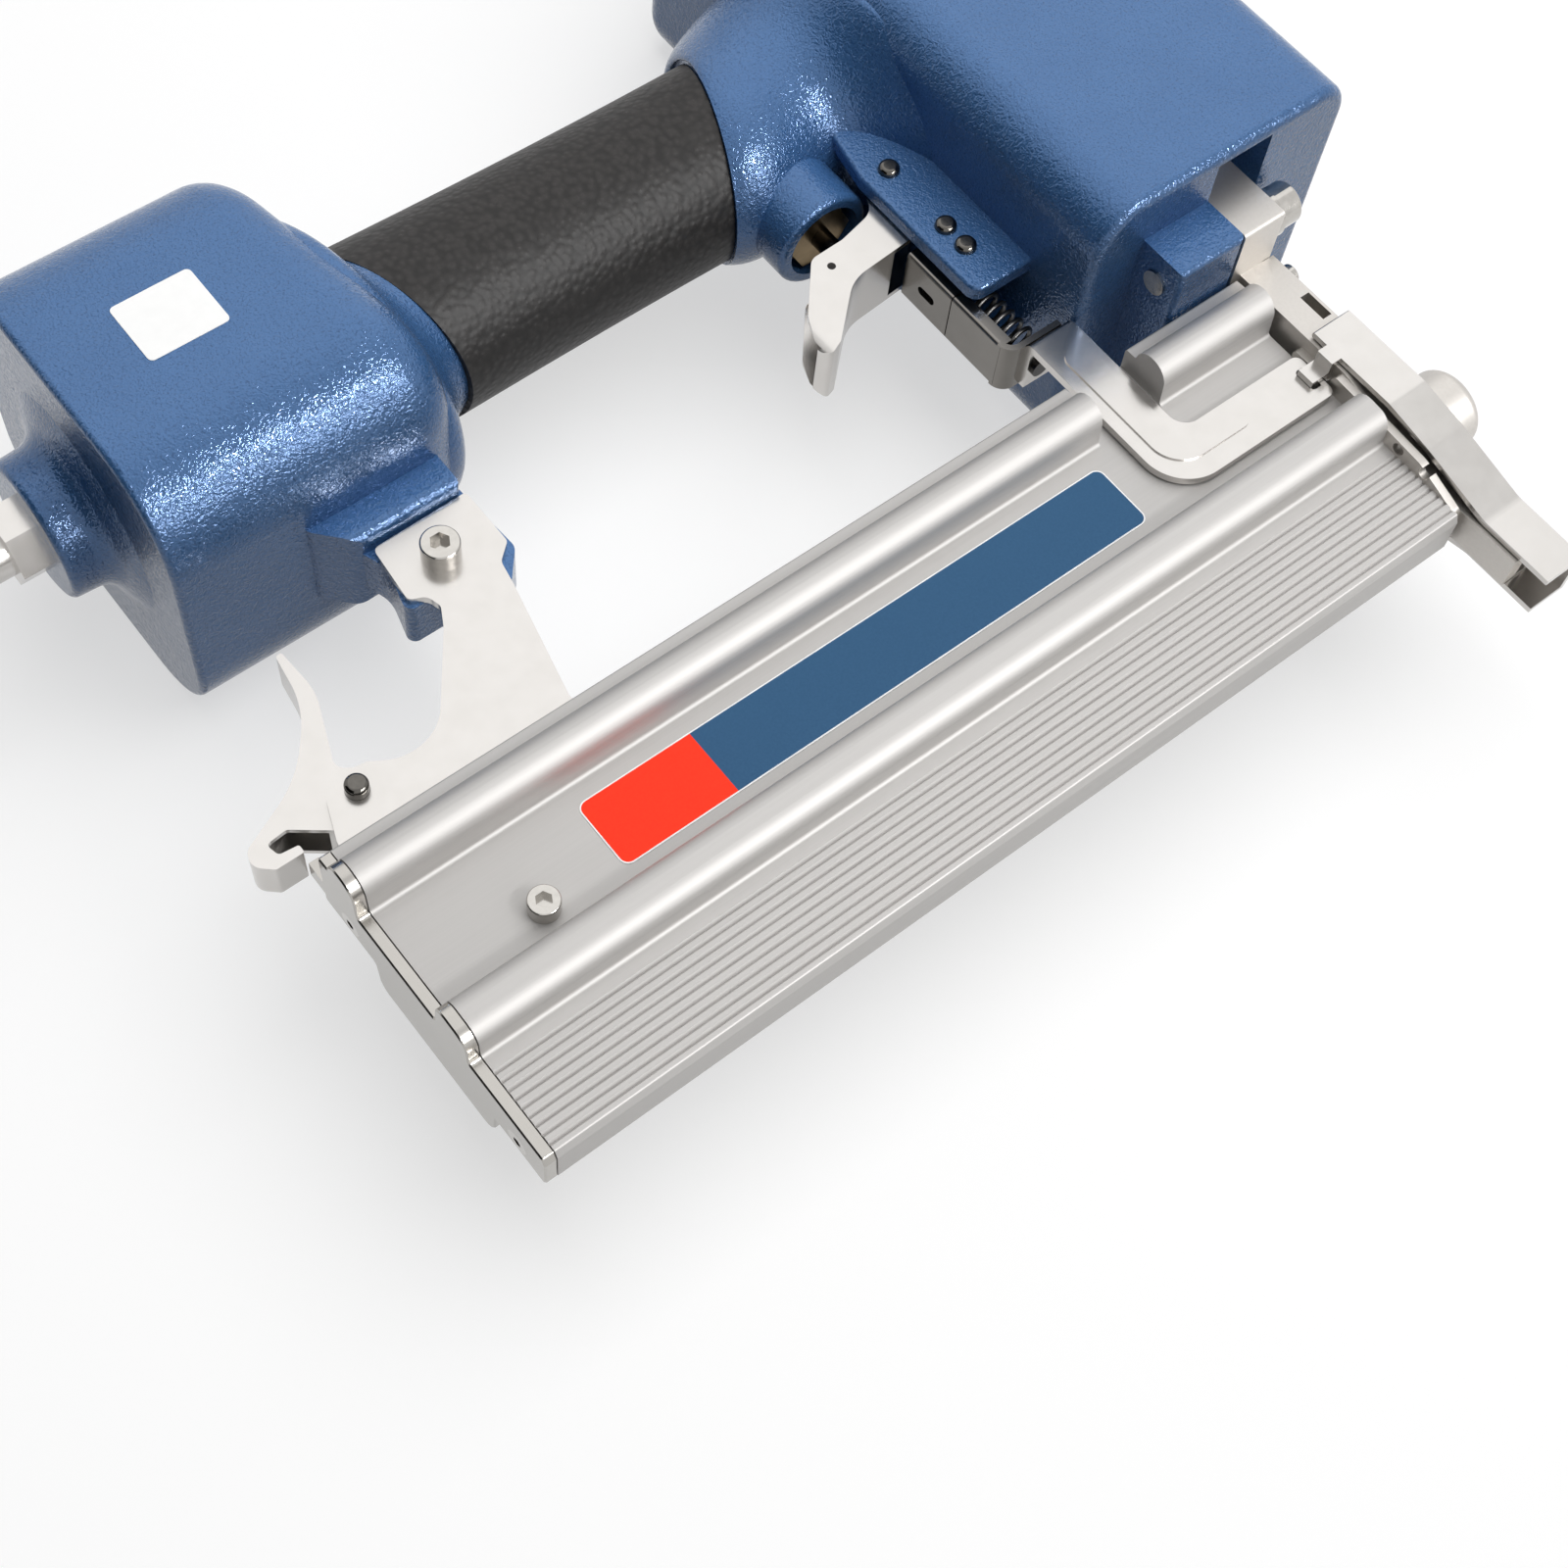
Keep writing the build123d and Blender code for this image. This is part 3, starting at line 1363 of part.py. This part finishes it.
os.makedirs("parts", exist_ok=True)
for name, solid in nodes.items():
    if isinstance(solid, list):
        solid = Compound(children=[piece for item in solid for piece in item.solids()])
    export_step(place * solid, "parts/" + name + ".step")
print("row frame = model frame moved by", -middle_x, -middle_y, body_half_width)
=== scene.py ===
import bpy
from math import pi, radians
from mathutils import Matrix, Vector


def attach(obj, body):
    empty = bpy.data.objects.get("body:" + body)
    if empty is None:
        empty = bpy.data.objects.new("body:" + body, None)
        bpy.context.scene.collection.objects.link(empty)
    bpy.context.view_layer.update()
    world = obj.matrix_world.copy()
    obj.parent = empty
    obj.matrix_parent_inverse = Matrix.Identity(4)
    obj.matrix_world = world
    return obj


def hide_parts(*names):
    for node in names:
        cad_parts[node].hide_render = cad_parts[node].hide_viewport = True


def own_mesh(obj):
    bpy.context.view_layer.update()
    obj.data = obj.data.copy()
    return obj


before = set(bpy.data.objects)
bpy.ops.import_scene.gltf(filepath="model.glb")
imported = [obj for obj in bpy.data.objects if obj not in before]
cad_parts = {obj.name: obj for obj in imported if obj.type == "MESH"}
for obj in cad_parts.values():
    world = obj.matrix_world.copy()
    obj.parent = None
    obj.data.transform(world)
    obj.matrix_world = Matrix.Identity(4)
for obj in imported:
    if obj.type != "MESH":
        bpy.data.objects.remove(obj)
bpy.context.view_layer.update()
bpy.ops.object.select_all(action="DESELECT")


# Cast body and cylinder cap
# Two light-alloy castings that hold the cylinder, the handle and the air chamber.
# They are stoved with blue hammer enamel, which dries to a fine wrinkled, glossy skin.
def linear(code):
    """Linear colour of an sRGB hex value."""
    parts = [int(code[i:i + 2], 16) / 255 for i in (1, 3, 5)]
    return [p / 12.92 if p <= 0.04045 else ((p + 0.055) / 1.055) ** 2.4 for p in parts] + [1.0]


def per_mm(size):
    """Texture scale that repeats a pattern every so many millimetres."""
    return 1000.0 / size


def new_finish(name):
    """A material with its shader and its object coordinates."""
    finish = bpy.data.materials.new(name)
    finish.use_nodes = True
    place = add_node(finish, "ShaderNodeTexCoord").outputs["Object"]
    return finish, finish.node_tree.nodes["Principled BSDF"], place


def add_node(finish, kind, sockets=None, **settings):
    """One node with its settings; each socket takes a plain value or another node's output."""
    node = finish.node_tree.nodes.new(kind)
    for key, value in settings.items():
        setattr(node, key, value)
    fill(finish, node, sockets or {})
    return node


def fill(finish, node, sockets):
    """Sets a node's sockets, by a link where the value is another node's output."""
    for key, value in sockets.items():
        if isinstance(value, bpy.types.NodeSocket):
            finish.node_tree.links.new(value, node.inputs[key])
        else:
            node.inputs[key].default_value = value


def dress(finish, *names):
    """Gives solids of the frame a finish."""
    for name in names:
        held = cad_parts[name].data.materials
        held.clear()
        held.append(finish)


# A colour Mix node's sockets share their names, so they go by number: factor, two colours, result.
SHARE, FIRST, SECOND, MIXED = 0, 6, 7, 2


def make_hammer_enamel():
    """Worm-like wrinkles under 2 mm from crest to crest, dark grain and a hard gloss."""
    finish, shader, place = new_finish("blue_hammer_enamel")
    swell = add_node(finish, "ShaderNodeTexNoise", {
        "Vector": place, "Scale": per_mm(14.0), "Detail": 2.0})
    wrinkle = add_node(finish, "ShaderNodeTexNoise", {
        "Vector": place, "Scale": per_mm(0.9), "Detail": 0.4, "Roughness": 0.4, "Distortion": 1.2})
    grain = add_node(finish, "ShaderNodeTexNoise", {
        "Vector": place, "Scale": per_mm(0.5), "Detail": 1.0})
    dark = add_node(finish, "ShaderNodeMapRange", {
        "Value": grain.outputs["Fac"], "From Min": 0.3, "From Max": 0.46})
    tone = add_node(finish, "ShaderNodeMix", {
        SHARE: swell.outputs["Fac"], FIRST: linear("#3d6494"), SECOND: linear("#456d9e")},
        data_type="RGBA")
    grained = add_node(finish, "ShaderNodeMix", {
        SHARE: dark.outputs["Result"], FIRST: linear("#335784"), SECOND: tone.outputs[MIXED]},
        data_type="RGBA")
    gloss = add_node(finish, "ShaderNodeMapRange", {
        "Value": grain.outputs["Fac"], "To Min": 0.16, "To Max": 0.08})
    low = add_node(finish, "ShaderNodeBump", {
        "Height": swell.outputs["Fac"], "Strength": 0.3, "Distance": 0.0006})
    fine = add_node(finish, "ShaderNodeBump", {
        "Height": wrinkle.outputs["Fac"], "Strength": 1.0, "Distance": 0.0002,
        "Normal": low.outputs["Normal"]})
    fill(finish, shader, {
        "Base Color": grained.outputs[MIXED], "Metallic": 0.22, "IOR": 1.5,
        "Roughness": gloss.outputs["Result"], "Normal": fine.outputs["Normal"]})
    return finish


dress(make_hammer_enamel(), "gun_body", "cylinder_cap")


# Cylinder, piston and head valve
# Turned light alloy, bright and ringed by the lathe tool round the drive axis.
def make_turned_alloy():
    """Rings every 3.1416 mm; a wave texture counts 20 radians for each unit of its scale."""
    finish, shader, place = new_finish("turned_light_alloy")
    axis = add_node(finish, "ShaderNodeMapping", {
        "Vector": place, "Location": (-0.1264, 0.0, -0.04)})
    rings = add_node(finish, "ShaderNodeTexWave", {
        "Vector": axis.outputs["Vector"], "Scale": per_mm(3.1416) * 2 * pi / 20, "Distortion": 0.4},
        wave_type="RINGS", rings_direction="Y")
    tone = add_node(finish, "ShaderNodeMix", {
        SHARE: rings.outputs["Fac"], FIRST: linear("#b9babb"), SECOND: linear("#d0d0cf")},
        data_type="RGBA")
    bump = add_node(finish, "ShaderNodeBump", {
        "Height": rings.outputs["Fac"], "Strength": 0.2, "Distance": 0.00005})
    fill(finish, shader, {
        "Base Color": tone.outputs[MIXED], "Metallic": 1.0, "Roughness": 0.28,
        "Normal": bump.outputs["Normal"]})
    return finish


dress(make_turned_alloy(), "cylinder_sleeve", "piston", "head_valve")


# Gasket, bumper and sealing rings
# Moulded black nitrile rubber with a dull skin.
def make_moulded_rubber():
    finish, shader, place = new_finish("moulded_nitrile_rubber")
    bloom = add_node(finish, "ShaderNodeTexNoise", {
        "Vector": place, "Scale": per_mm(4.0), "Detail": 5.0})
    tone = add_node(finish, "ShaderNodeMix", {
        SHARE: bloom.outputs["Fac"], FIRST: linear("#161616"), SECOND: linear("#2a2928")},
        data_type="RGBA")
    skin = add_node(finish, "ShaderNodeBump", {
        "Height": bloom.outputs["Fac"], "Strength": 0.2, "Distance": 0.0001})
    fill(finish, shader, {
        "Base Color": tone.outputs[MIXED], "Roughness": 0.65, "Normal": skin.outputs["Normal"]})
    return finish


dress(make_moulded_rubber(), "cap_gasket", "bumper", "piston_ring", "head_valve_ring", "valve_ring")


# Springs
# Cold-drawn wire, grey and lightly oiled, wound on a mandrel, and darkened further as painted
# shade.
# Three straight coils are pressed together in use; merged, smooth-shaded copies stand in for them.
def make_spring_wire():
    finish, shader, place = new_finish("spring_wire_painted_shade")
    grain = add_node(finish, "ShaderNodeTexNoise", {
        "Vector": place, "Scale": per_mm(0.6), "Detail": 3.0})
    tone = add_node(finish, "ShaderNodeMix", {
        SHARE: grain.outputs["Fac"], FIRST: linear("#454443"), SECOND: linear("#636261")},
        data_type="RGBA")
    fill(finish, shader, {"Base Color": tone.outputs[MIXED], "Metallic": 1.0, "Roughness": 0.32})
    return finish


def seat_coil(name, node):
    """Copy of a coil along Y, merged and smooth shaded, that the body holds in place of the
    original.
    """
    bpy.ops.object.select_all(action="DESELECT")
    coil = bpy.data.objects.new(name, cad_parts[node].data.copy())
    bpy.context.collection.objects.link(coil)
    coil.select_set(True)
    bpy.context.view_layer.objects.active = coil
    bpy.ops.object.mode_set(mode="EDIT")
    bpy.ops.mesh.select_all(action="SELECT")
    bpy.ops.mesh.remove_doubles(threshold=1e-6)
    bpy.ops.object.mode_set(mode="OBJECT")
    bpy.ops.object.shade_smooth_by_angle(angle=radians(40.0))
    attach(coil, "body")
    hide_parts(node)
    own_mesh(coil)


dress(make_spring_wire(), "head_valve_spring", "valve_spring", "safety_spring", "latch_spring",
      "pusher_spring")
seat_coil("head_valve_coil", "head_valve_spring")
seat_coil("valve_coil", "valve_spring")
seat_coil("safety_coil", "safety_spring")


# Exhaust deflector and pusher
# Injection-moulded black nylon with a fine spark-eroded grain.
def make_moulded_nylon():
    finish, shader, place = new_finish("moulded_black_nylon")
    grain = add_node(finish, "ShaderNodeTexNoise", {
        "Vector": place, "Scale": per_mm(0.7), "Detail": 3.0})
    tone = add_node(finish, "ShaderNodeMix", {
        SHARE: grain.outputs["Fac"], FIRST: linear("#1b1b1c"), SECOND: linear("#262627")},
        data_type="RGBA")
    bump = add_node(finish, "ShaderNodeBump", {
        "Height": grain.outputs["Fac"], "Strength": 0.25, "Distance": 0.0001})
    fill(finish, shader, {
        "Base Color": tone.outputs[MIXED], "Roughness": 0.5, "Normal": bump.outputs["Normal"]})
    return finish


dress(make_moulded_nylon(), "exhaust_deflector", "pusher")


# Screws and washers
# Cap screws and washers, turned and bright zinc plated.
def make_bright_plating():
    finish, shader, place = new_finish("bright_zinc_plate")
    haze = add_node(finish, "ShaderNodeTexNoise", {
        "Vector": place, "Scale": per_mm(1.5), "Detail": 4.0})
    dull = add_node(finish, "ShaderNodeMapRange", {
        "Value": haze.outputs["Fac"], "To Min": 0.1, "To Max": 0.22})
    tone = add_node(finish, "ShaderNodeMix", {
        SHARE: haze.outputs["Fac"], FIRST: linear("#b0ada8"), SECOND: linear("#c4c1bc")},
        data_type="RGBA")
    fill(finish, shader, {
        "Base Color": tone.outputs[MIXED], "Metallic": 1.0, "Roughness": dull.outputs["Result"]})
    return finish


dress(make_bright_plating(), "cap_screws", "deflector_screw", "nose_screws", "nose_washers",
      "front_screws", "end_screws", "stop_screw", "bracket_screw")


# Grip sleeve
# Moulded rubber with a leather grain, pulled over the handle's core.
def make_grained_rubber():
    """Rounded cells about 1.5 mm wide, with painted shade darkening the creases between them."""
    finish, shader, place = new_finish("leather_grained_rubber")
    warp = add_node(finish, "ShaderNodeTexNoise", {
        "Vector": place, "Scale": per_mm(3.0), "Detail": 2.0})
    cells = add_node(finish, "ShaderNodeTexVoronoi", {
        "Vector": place, "Scale": per_mm(1.5), "Randomness": 1.0}, feature="SMOOTH_F1")
    tone = add_node(finish, "ShaderNodeMix", {
        SHARE: warp.outputs["Fac"], FIRST: linear("#211f1e"), SECOND: linear("#2c2928")},
        data_type="RGBA")
    # Painted shade: the creases between the cells are darkened in the colour.
    painted_crease_shade = add_node(finish, "ShaderNodeMapRange", {
        "Value": cells.outputs["Distance"], "From Min": 0.25, "From Max": 0.6})
    grained = add_node(finish, "ShaderNodeMix", {
        SHARE: painted_crease_shade.outputs["Result"], FIRST: tone.outputs[MIXED], SECOND: linear("#141211")},
        data_type="RGBA")
    bump = add_node(finish, "ShaderNodeBump", {
        "Height": cells.outputs["Distance"], "Strength": 0.8, "Distance": 0.0003}, invert=True)
    fill(finish, shader, {
        "Base Color": grained.outputs[MIXED], "Roughness": 0.5, "Specular IOR Level": 0.35,
        "Normal": bump.outputs["Normal"]})
    return finish


dress(make_grained_rubber(), "grip_sleeve")


# Sheet parts of bracket, latch, trigger and safety, and the air plug
# Steel, blanked and folded or turned, and barrel plated with nickel.
def make_plated_sheet(name, low, high):
    finish, shader, place = new_finish(name)
    cloud = add_node(finish, "ShaderNodeTexNoise", {
        "Vector": place, "Scale": per_mm(6.0), "Detail": 4.0})
    dull = add_node(finish, "ShaderNodeMapRange", {
        "Value": cloud.outputs["Fac"], "To Min": 0.18, "To Max": 0.28})
    tone = add_node(finish, "ShaderNodeMix", {
        SHARE: cloud.outputs["Fac"], FIRST: linear(low), SECOND: linear(high)}, data_type="RGBA")
    bump = add_node(finish, "ShaderNodeBump", {
        "Height": cloud.outputs["Fac"], "Strength": 0.06, "Distance": 0.0003})
    fill(finish, shader, {
        "Base Color": tone.outputs[MIXED], "Metallic": 1.0, "Roughness": dull.outputs["Result"],
        "Normal": bump.outputs["Normal"]})
    return finish


dress(make_plated_sheet("nickel_plated_sheet", "#c2bfbb", "#cecbc8"),
      "magazine_bracket", "latch_lever", "trigger", "trip_lever", "safety_bar", "contact_shoe",
      "air_plug")


# End plate
# Stamped from thicker steel and plated with duller nickel, screwed to the sliding magazine half;
# its tone is darkened further as painted shade for its shaded side.
dress(make_plated_sheet("dull_nickel_and_painted_shade", "#a8a5a0", "#b4b1ac"), "end_plate")


# Yokes of the contact safety
# Folded from the same sheet as the bar, in a darker tone that is painted shade for their shaded
# sides.
dress(make_plated_sheet("plated_sheet_painted_shade", "#75726e", "#83807c"), "lower_yoke", "upper_yoke")


# Nose and driver
# Hardened steel, ground and satin plated, so its light is broad and soft.
def make_satin_steel():
    finish, shader, place = new_finish("satin_hardened_steel")
    grit = add_node(finish, "ShaderNodeTexNoise", {
        "Vector": place, "Scale": per_mm(0.8), "Detail": 3.0})
    tone = add_node(finish, "ShaderNodeMix", {
        SHARE: grit.outputs["Fac"], FIRST: linear("#c0bcb7"), SECOND: linear("#ccc8c3")},
        data_type="RGBA")
    bump = add_node(finish, "ShaderNodeBump", {
        "Height": grit.outputs["Fac"], "Strength": 0.15, "Distance": 0.0001})
    fill(finish, shader, {
        "Base Color": tone.outputs[MIXED], "Metallic": 1.0, "Roughness": 0.42,
        "Normal": bump.outputs["Normal"]})
    return finish


dress(make_satin_steel(), "nose_guide", "nose_front", "nose_rear_plate", "driver_blade",
      "shoe_boss")


# Dowel pins
# Hardened steel, ground and polished on their domed ends; their dark tone is a painted reflection
# of dark surroundings.
def make_steel_pin(name, low, high, rough):
    finish, shader, place = new_finish(name)
    film = add_node(finish, "ShaderNodeTexNoise", {
        "Vector": place, "Scale": per_mm(1.0), "Detail": 3.0})
    tone = add_node(finish, "ShaderNodeMix", {
        SHARE: film.outputs["Fac"], FIRST: linear(low), SECOND: linear(high)}, data_type="RGBA")
    dull = add_node(finish, "ShaderNodeMapRange", {
        "Value": film.outputs["Fac"], "To Min": rough, "To Max": rough + 0.08})
    fill(finish, shader, {
        "Base Color": tone.outputs[MIXED], "Metallic": 1.0, "Roughness": dull.outputs["Result"]})
    return finish


dress(make_steel_pin("polished_steel_painted_dark_reflection", "#55534f", "#6b6864", rough=0.08),
      "trigger_pin", "guide_pins", "latch_pin")


# Trip pin, valve stem and rivet
# Steel blackened in an oxide bath and oiled.
dress(make_steel_pin("black_oxide_steel", "#232222", "#3a3836", rough=0.2),
      "trip_pin", "valve_stem", "yoke_rivet")


# Trigger valve
# Turned bronze hexagon, dull and a little stained.
def make_bronze():
    finish, shader, place = new_finish("turned_bronze")
    stain = add_node(finish, "ShaderNodeTexNoise", {
        "Vector": place, "Scale": per_mm(3.0), "Detail": 4.0})
    tone = add_node(finish, "ShaderNodeMix", {
        SHARE: stain.outputs["Fac"], FIRST: linear("#6b5a41"), SECOND: linear("#94805f")},
        data_type="RGBA")
    fill(finish, shader, {"Base Color": tone.outputs[MIXED], "Metallic": 1.0, "Roughness": 0.3})
    return finish


dress(make_bronze(), "trigger_valve")


# Magazine halves
# Extruded aluminium, satin anodised; the die leaves fine lines along its length.
def make_anodised_extrusion():
    """Lines half a millimetre apart, drawn out a hundredfold along X."""
    finish, shader, place = new_finish("satin_anodised_extrusion")
    stretch = add_node(finish, "ShaderNodeMapping", {"Vector": place, "Scale": (0.01, 1.0, 1.0)})
    lines = add_node(finish, "ShaderNodeTexNoise", {
        "Vector": stretch.outputs["Vector"], "Scale": per_mm(0.5), "Detail": 3.0})
    tone = add_node(finish, "ShaderNodeMix", {
        SHARE: lines.outputs["Fac"], FIRST: linear("#b0aeac"), SECOND: linear("#bcbab8")},
        data_type="RGBA")
    dull = add_node(finish, "ShaderNodeMapRange", {
        "Value": lines.outputs["Fac"], "To Min": 0.58, "To Max": 0.68})
    bump = add_node(finish, "ShaderNodeBump", {
        "Height": lines.outputs["Fac"], "Strength": 0.12, "Distance": 0.00008})
    fill(finish, shader, {
        "Base Color": tone.outputs[MIXED], "Metallic": 0.8, "Roughness": dull.outputs["Result"],
        "Specular IOR Level": 0.2, "Normal": bump.outputs["Normal"]})
    return finish


dress(make_anodised_extrusion(), "fixed_magazine", "sliding_magazine")


# Magazine label
# A printed vinyl sticker pressed into the flat field of the fixed magazine half.
# It has a red end, a long blue field and a thin pale edge where the print stops.
def press_on_sticker(name, low, high, corner, edge):
    """Sticker with rounded corners between two (x, y, z) places, and a rim round its print."""
    middle = [(a + b) / 2 for a, b in zip(low, high)]
    bpy.ops.object.select_all(action="DESELECT")
    bpy.ops.mesh.primitive_plane_add(size=1.0, location=(middle[0], middle[1], low[2]))
    sticker = bpy.context.object
    sticker.name = name
    sticker.scale = (high[0] - low[0], high[1] - low[1], 1.0)
    bpy.ops.object.transform_apply(location=True, rotation=True, scale=True)
    bpy.ops.object.mode_set(mode="EDIT")
    bpy.ops.mesh.select_all(action="SELECT")
    bpy.ops.mesh.bevel(offset=corner, segments=6, affect="VERTICES")
    bpy.ops.mesh.inset(thickness=edge)
    bpy.ops.mesh.select_all(action="SELECT")
    bpy.ops.mesh.extrude_region_move(
        TRANSFORM_OT_translate={"value": (0.0, 0.0, high[2] - low[2])})
    bpy.ops.mesh.select_all(action="SELECT")
    bpy.ops.mesh.normals_make_consistent(inside=False)
    bpy.ops.object.mode_set(mode="OBJECT")
    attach(sticker, "body")
    return sticker


def make_printed_vinyl(change_x, blur):
    """Gloss vinyl: the ink changes from red to blue at one straight line across the label."""
    finish, shader, place = new_finish("printed_gloss_vinyl")
    along = add_node(finish, "ShaderNodeSeparateXYZ", {"Vector": place}).outputs["X"]
    change = add_node(finish, "ShaderNodeMapRange", {
        "Value": along, "From Min": change_x - blur, "From Max": change_x + blur})
    mottle = add_node(finish, "ShaderNodeTexNoise", {
        "Vector": place, "Scale": per_mm(0.5), "Detail": 3.0})
    red = add_node(finish, "ShaderNodeMix", {
        SHARE: mottle.outputs["Fac"], FIRST: linear("#f62a0c"), SECOND: linear("#ff3a16")},
        data_type="RGBA")
    blue = add_node(finish, "ShaderNodeMix", {
        SHARE: mottle.outputs["Fac"], FIRST: linear("#264e72"), SECOND: linear("#305a7e")},
        data_type="RGBA")
    ink = add_node(finish, "ShaderNodeMix", {
        SHARE: change.outputs["Result"], FIRST: red.outputs[MIXED], SECOND: blue.outputs[MIXED]},
        data_type="RGBA")
    skin = add_node(finish, "ShaderNodeBump", {
        "Height": mottle.outputs["Fac"], "Strength": 0.1, "Distance": 0.00005})
    fill(finish, shader, {
        "Base Color": ink.outputs[MIXED], "Roughness": 0.35, "IOR": 1.5,
        "Specular IOR Level": 0.15, "Normal": skin.outputs["Normal"]})
    return finish


def make_white_film(name, tint):
    """Plain white film, a little uneven where the paste under it shows through."""
    finish, shader, place = new_finish(name)
    paste = add_node(finish, "ShaderNodeTexNoise", {
        "Vector": place, "Scale": per_mm(3.0), "Detail": 4.0})
    tone = add_node(finish, "ShaderNodeMix", {
        SHARE: paste.outputs["Fac"], FIRST: linear(tint), SECOND: linear("#fcfcfb")},
        data_type="RGBA")
    skin = add_node(finish, "ShaderNodeBump", {
        "Height": paste.outputs["Fac"], "Strength": 0.1, "Distance": 0.00005})
    fill(finish, shader, {
        "Base Color": tone.outputs[MIXED], "Roughness": 0.45, "Normal": skin.outputs["Normal"]})
    return finish


label = press_on_sticker("field_label", low=(-0.0760, -0.0778, 0.04548),
                         high=(0.0630, -0.0612, 0.04565), corner=0.0022, edge=0.0003)
label.data.materials.append(make_printed_vinyl(change_x=-0.0480, blur=0.00005))
label.data.materials.append(make_white_film("bare_vinyl_edge", "#d4d6d8"))
for face in label.data.polygons:
    printed = len(face.vertices) > 4
    face.material_index = 0 if printed else 1


# Chamber sticker
# A blank square of white film on the flat right side of the air chamber.
blank = press_on_sticker("chamber_sticker", low=(-0.0955, 0.0525, 0.07998),
                         high=(-0.0770, 0.0685, 0.08015), corner=0.0012, edge=0.0003)
blank.data.materials.append(make_white_film("blank_white_film", "#f4f4f3"))


# Studio
# A white floor and room under a broad ceiling light, with a dark card behind the air inlet.
# A long softbox low on the magazine's side and a narrow strip above it give the highlights.
def shown_or_lit(owner, lit, shown):
    """One value for the light that falls on the tool, another for what is seen or mirrored."""
    path = add_node(owner, "ShaderNodeLightPath")
    seen = add_node(owner, "ShaderNodeMath", {
        0: path.outputs["Is Camera Ray"], 1: path.outputs["Is Glossy Ray"]}, operation="MAXIMUM")
    seen = add_node(owner, "ShaderNodeMath", {
        0: seen.outputs[0], 1: path.outputs["Is Transmission Ray"]}, operation="MAXIMUM")
    return add_node(owner, "ShaderNodeMapRange", {
        "Value": seen.outputs[0], "To Min": lit, "To Max": shown}).outputs["Result"]


def hang_softbox(name, place, width, height, glow):
    """Area light that faces the tool; glow is how bright it looks, with 1 as white."""
    bpy.ops.object.light_add(type="AREA", location=place)
    softbox = bpy.context.object
    softbox.name = name
    softbox.data.shape = "RECTANGLE"
    softbox.data.size = width
    softbox.data.size_y = height
    softbox.data.energy = glow * width * height * pi
    softbox.rotation_euler = Vector(place).to_track_quat("Z", "Y").to_euler()
    return softbox


bpy.ops.object.select_all(action="DESELECT")
bpy.ops.mesh.primitive_plane_add(size=3.0, location=(0.0, 0.0, -0.0005))
floor = bpy.context.object
floor.name = "floor"
paper = bpy.data.materials.new("white_paper")
paper.use_nodes = True
fill(paper, paper.node_tree.nodes["Principled BSDF"], {
    "Base Color": shown_or_lit(paper, lit=0.1, shown=0.4), "Roughness": 0.9,
    "Specular IOR Level": 0.1, "Emission Color": linear("#ffffff"),
    "Emission Strength": shown_or_lit(paper, lit=0.0, shown=0.6)})
floor.data.materials.append(paper)

hang_softbox("ceiling_light", (0.46, 0.56, 1.08), width=1.5, height=1.5, glow=0.5)
fill_light = hang_softbox("ceiling_fill", (0.45, -0.1, 1.25), width=1.5, height=1.5, glow=2.8)
fill_light.visible_glossy = False
side_light = hang_softbox("side_glow", (0.33, -1.1, 0.58), width=0.9, height=0.2, glow=9.5)
side_light.visible_diffuse = False
strip_light = hang_softbox("strip_glow", (0.30, -0.82, 0.92), width=0.6, height=0.05, glow=105.0)
strip_light.visible_diffuse = False

bpy.ops.mesh.primitive_plane_add(
    size=1.2, location=(-0.8, 0.1, 0.5), rotation=(0.0, radians(90.0), 0.0))
card = bpy.context.object
card.name = "dark_card"
card.visible_camera = False
card.visible_shadow = False
card.visible_diffuse = False
felt = bpy.data.materials.new("dark_felt")
felt.use_nodes = True
fill(felt, felt.node_tree.nodes["Principled BSDF"], {
    "Base Color": linear("#1c1c1c"), "Roughness": 1.0})
card.data.materials.append(felt)

world = bpy.data.worlds.new("white_room")
bpy.context.scene.world = world
world.use_nodes = True
fill(world, world.node_tree.nodes["Background"], {
    "Color": linear("#ffffff"), "Strength": shown_or_lit(world, lit=0.14, shown=1.0)})

bpy.ops.object.camera_add(location=(-0.20464, -0.23987, 0.47063),
                          rotation=(radians(27.984), radians(-4.147), radians(-38.422)))
camera = bpy.context.object
camera.data.lens = 55.869
camera.data.sensor_width = 36.0
camera.data.clip_start = 0.01
bpy.context.scene.camera = camera
bpy.context.scene.view_settings.view_transform = "Standard"
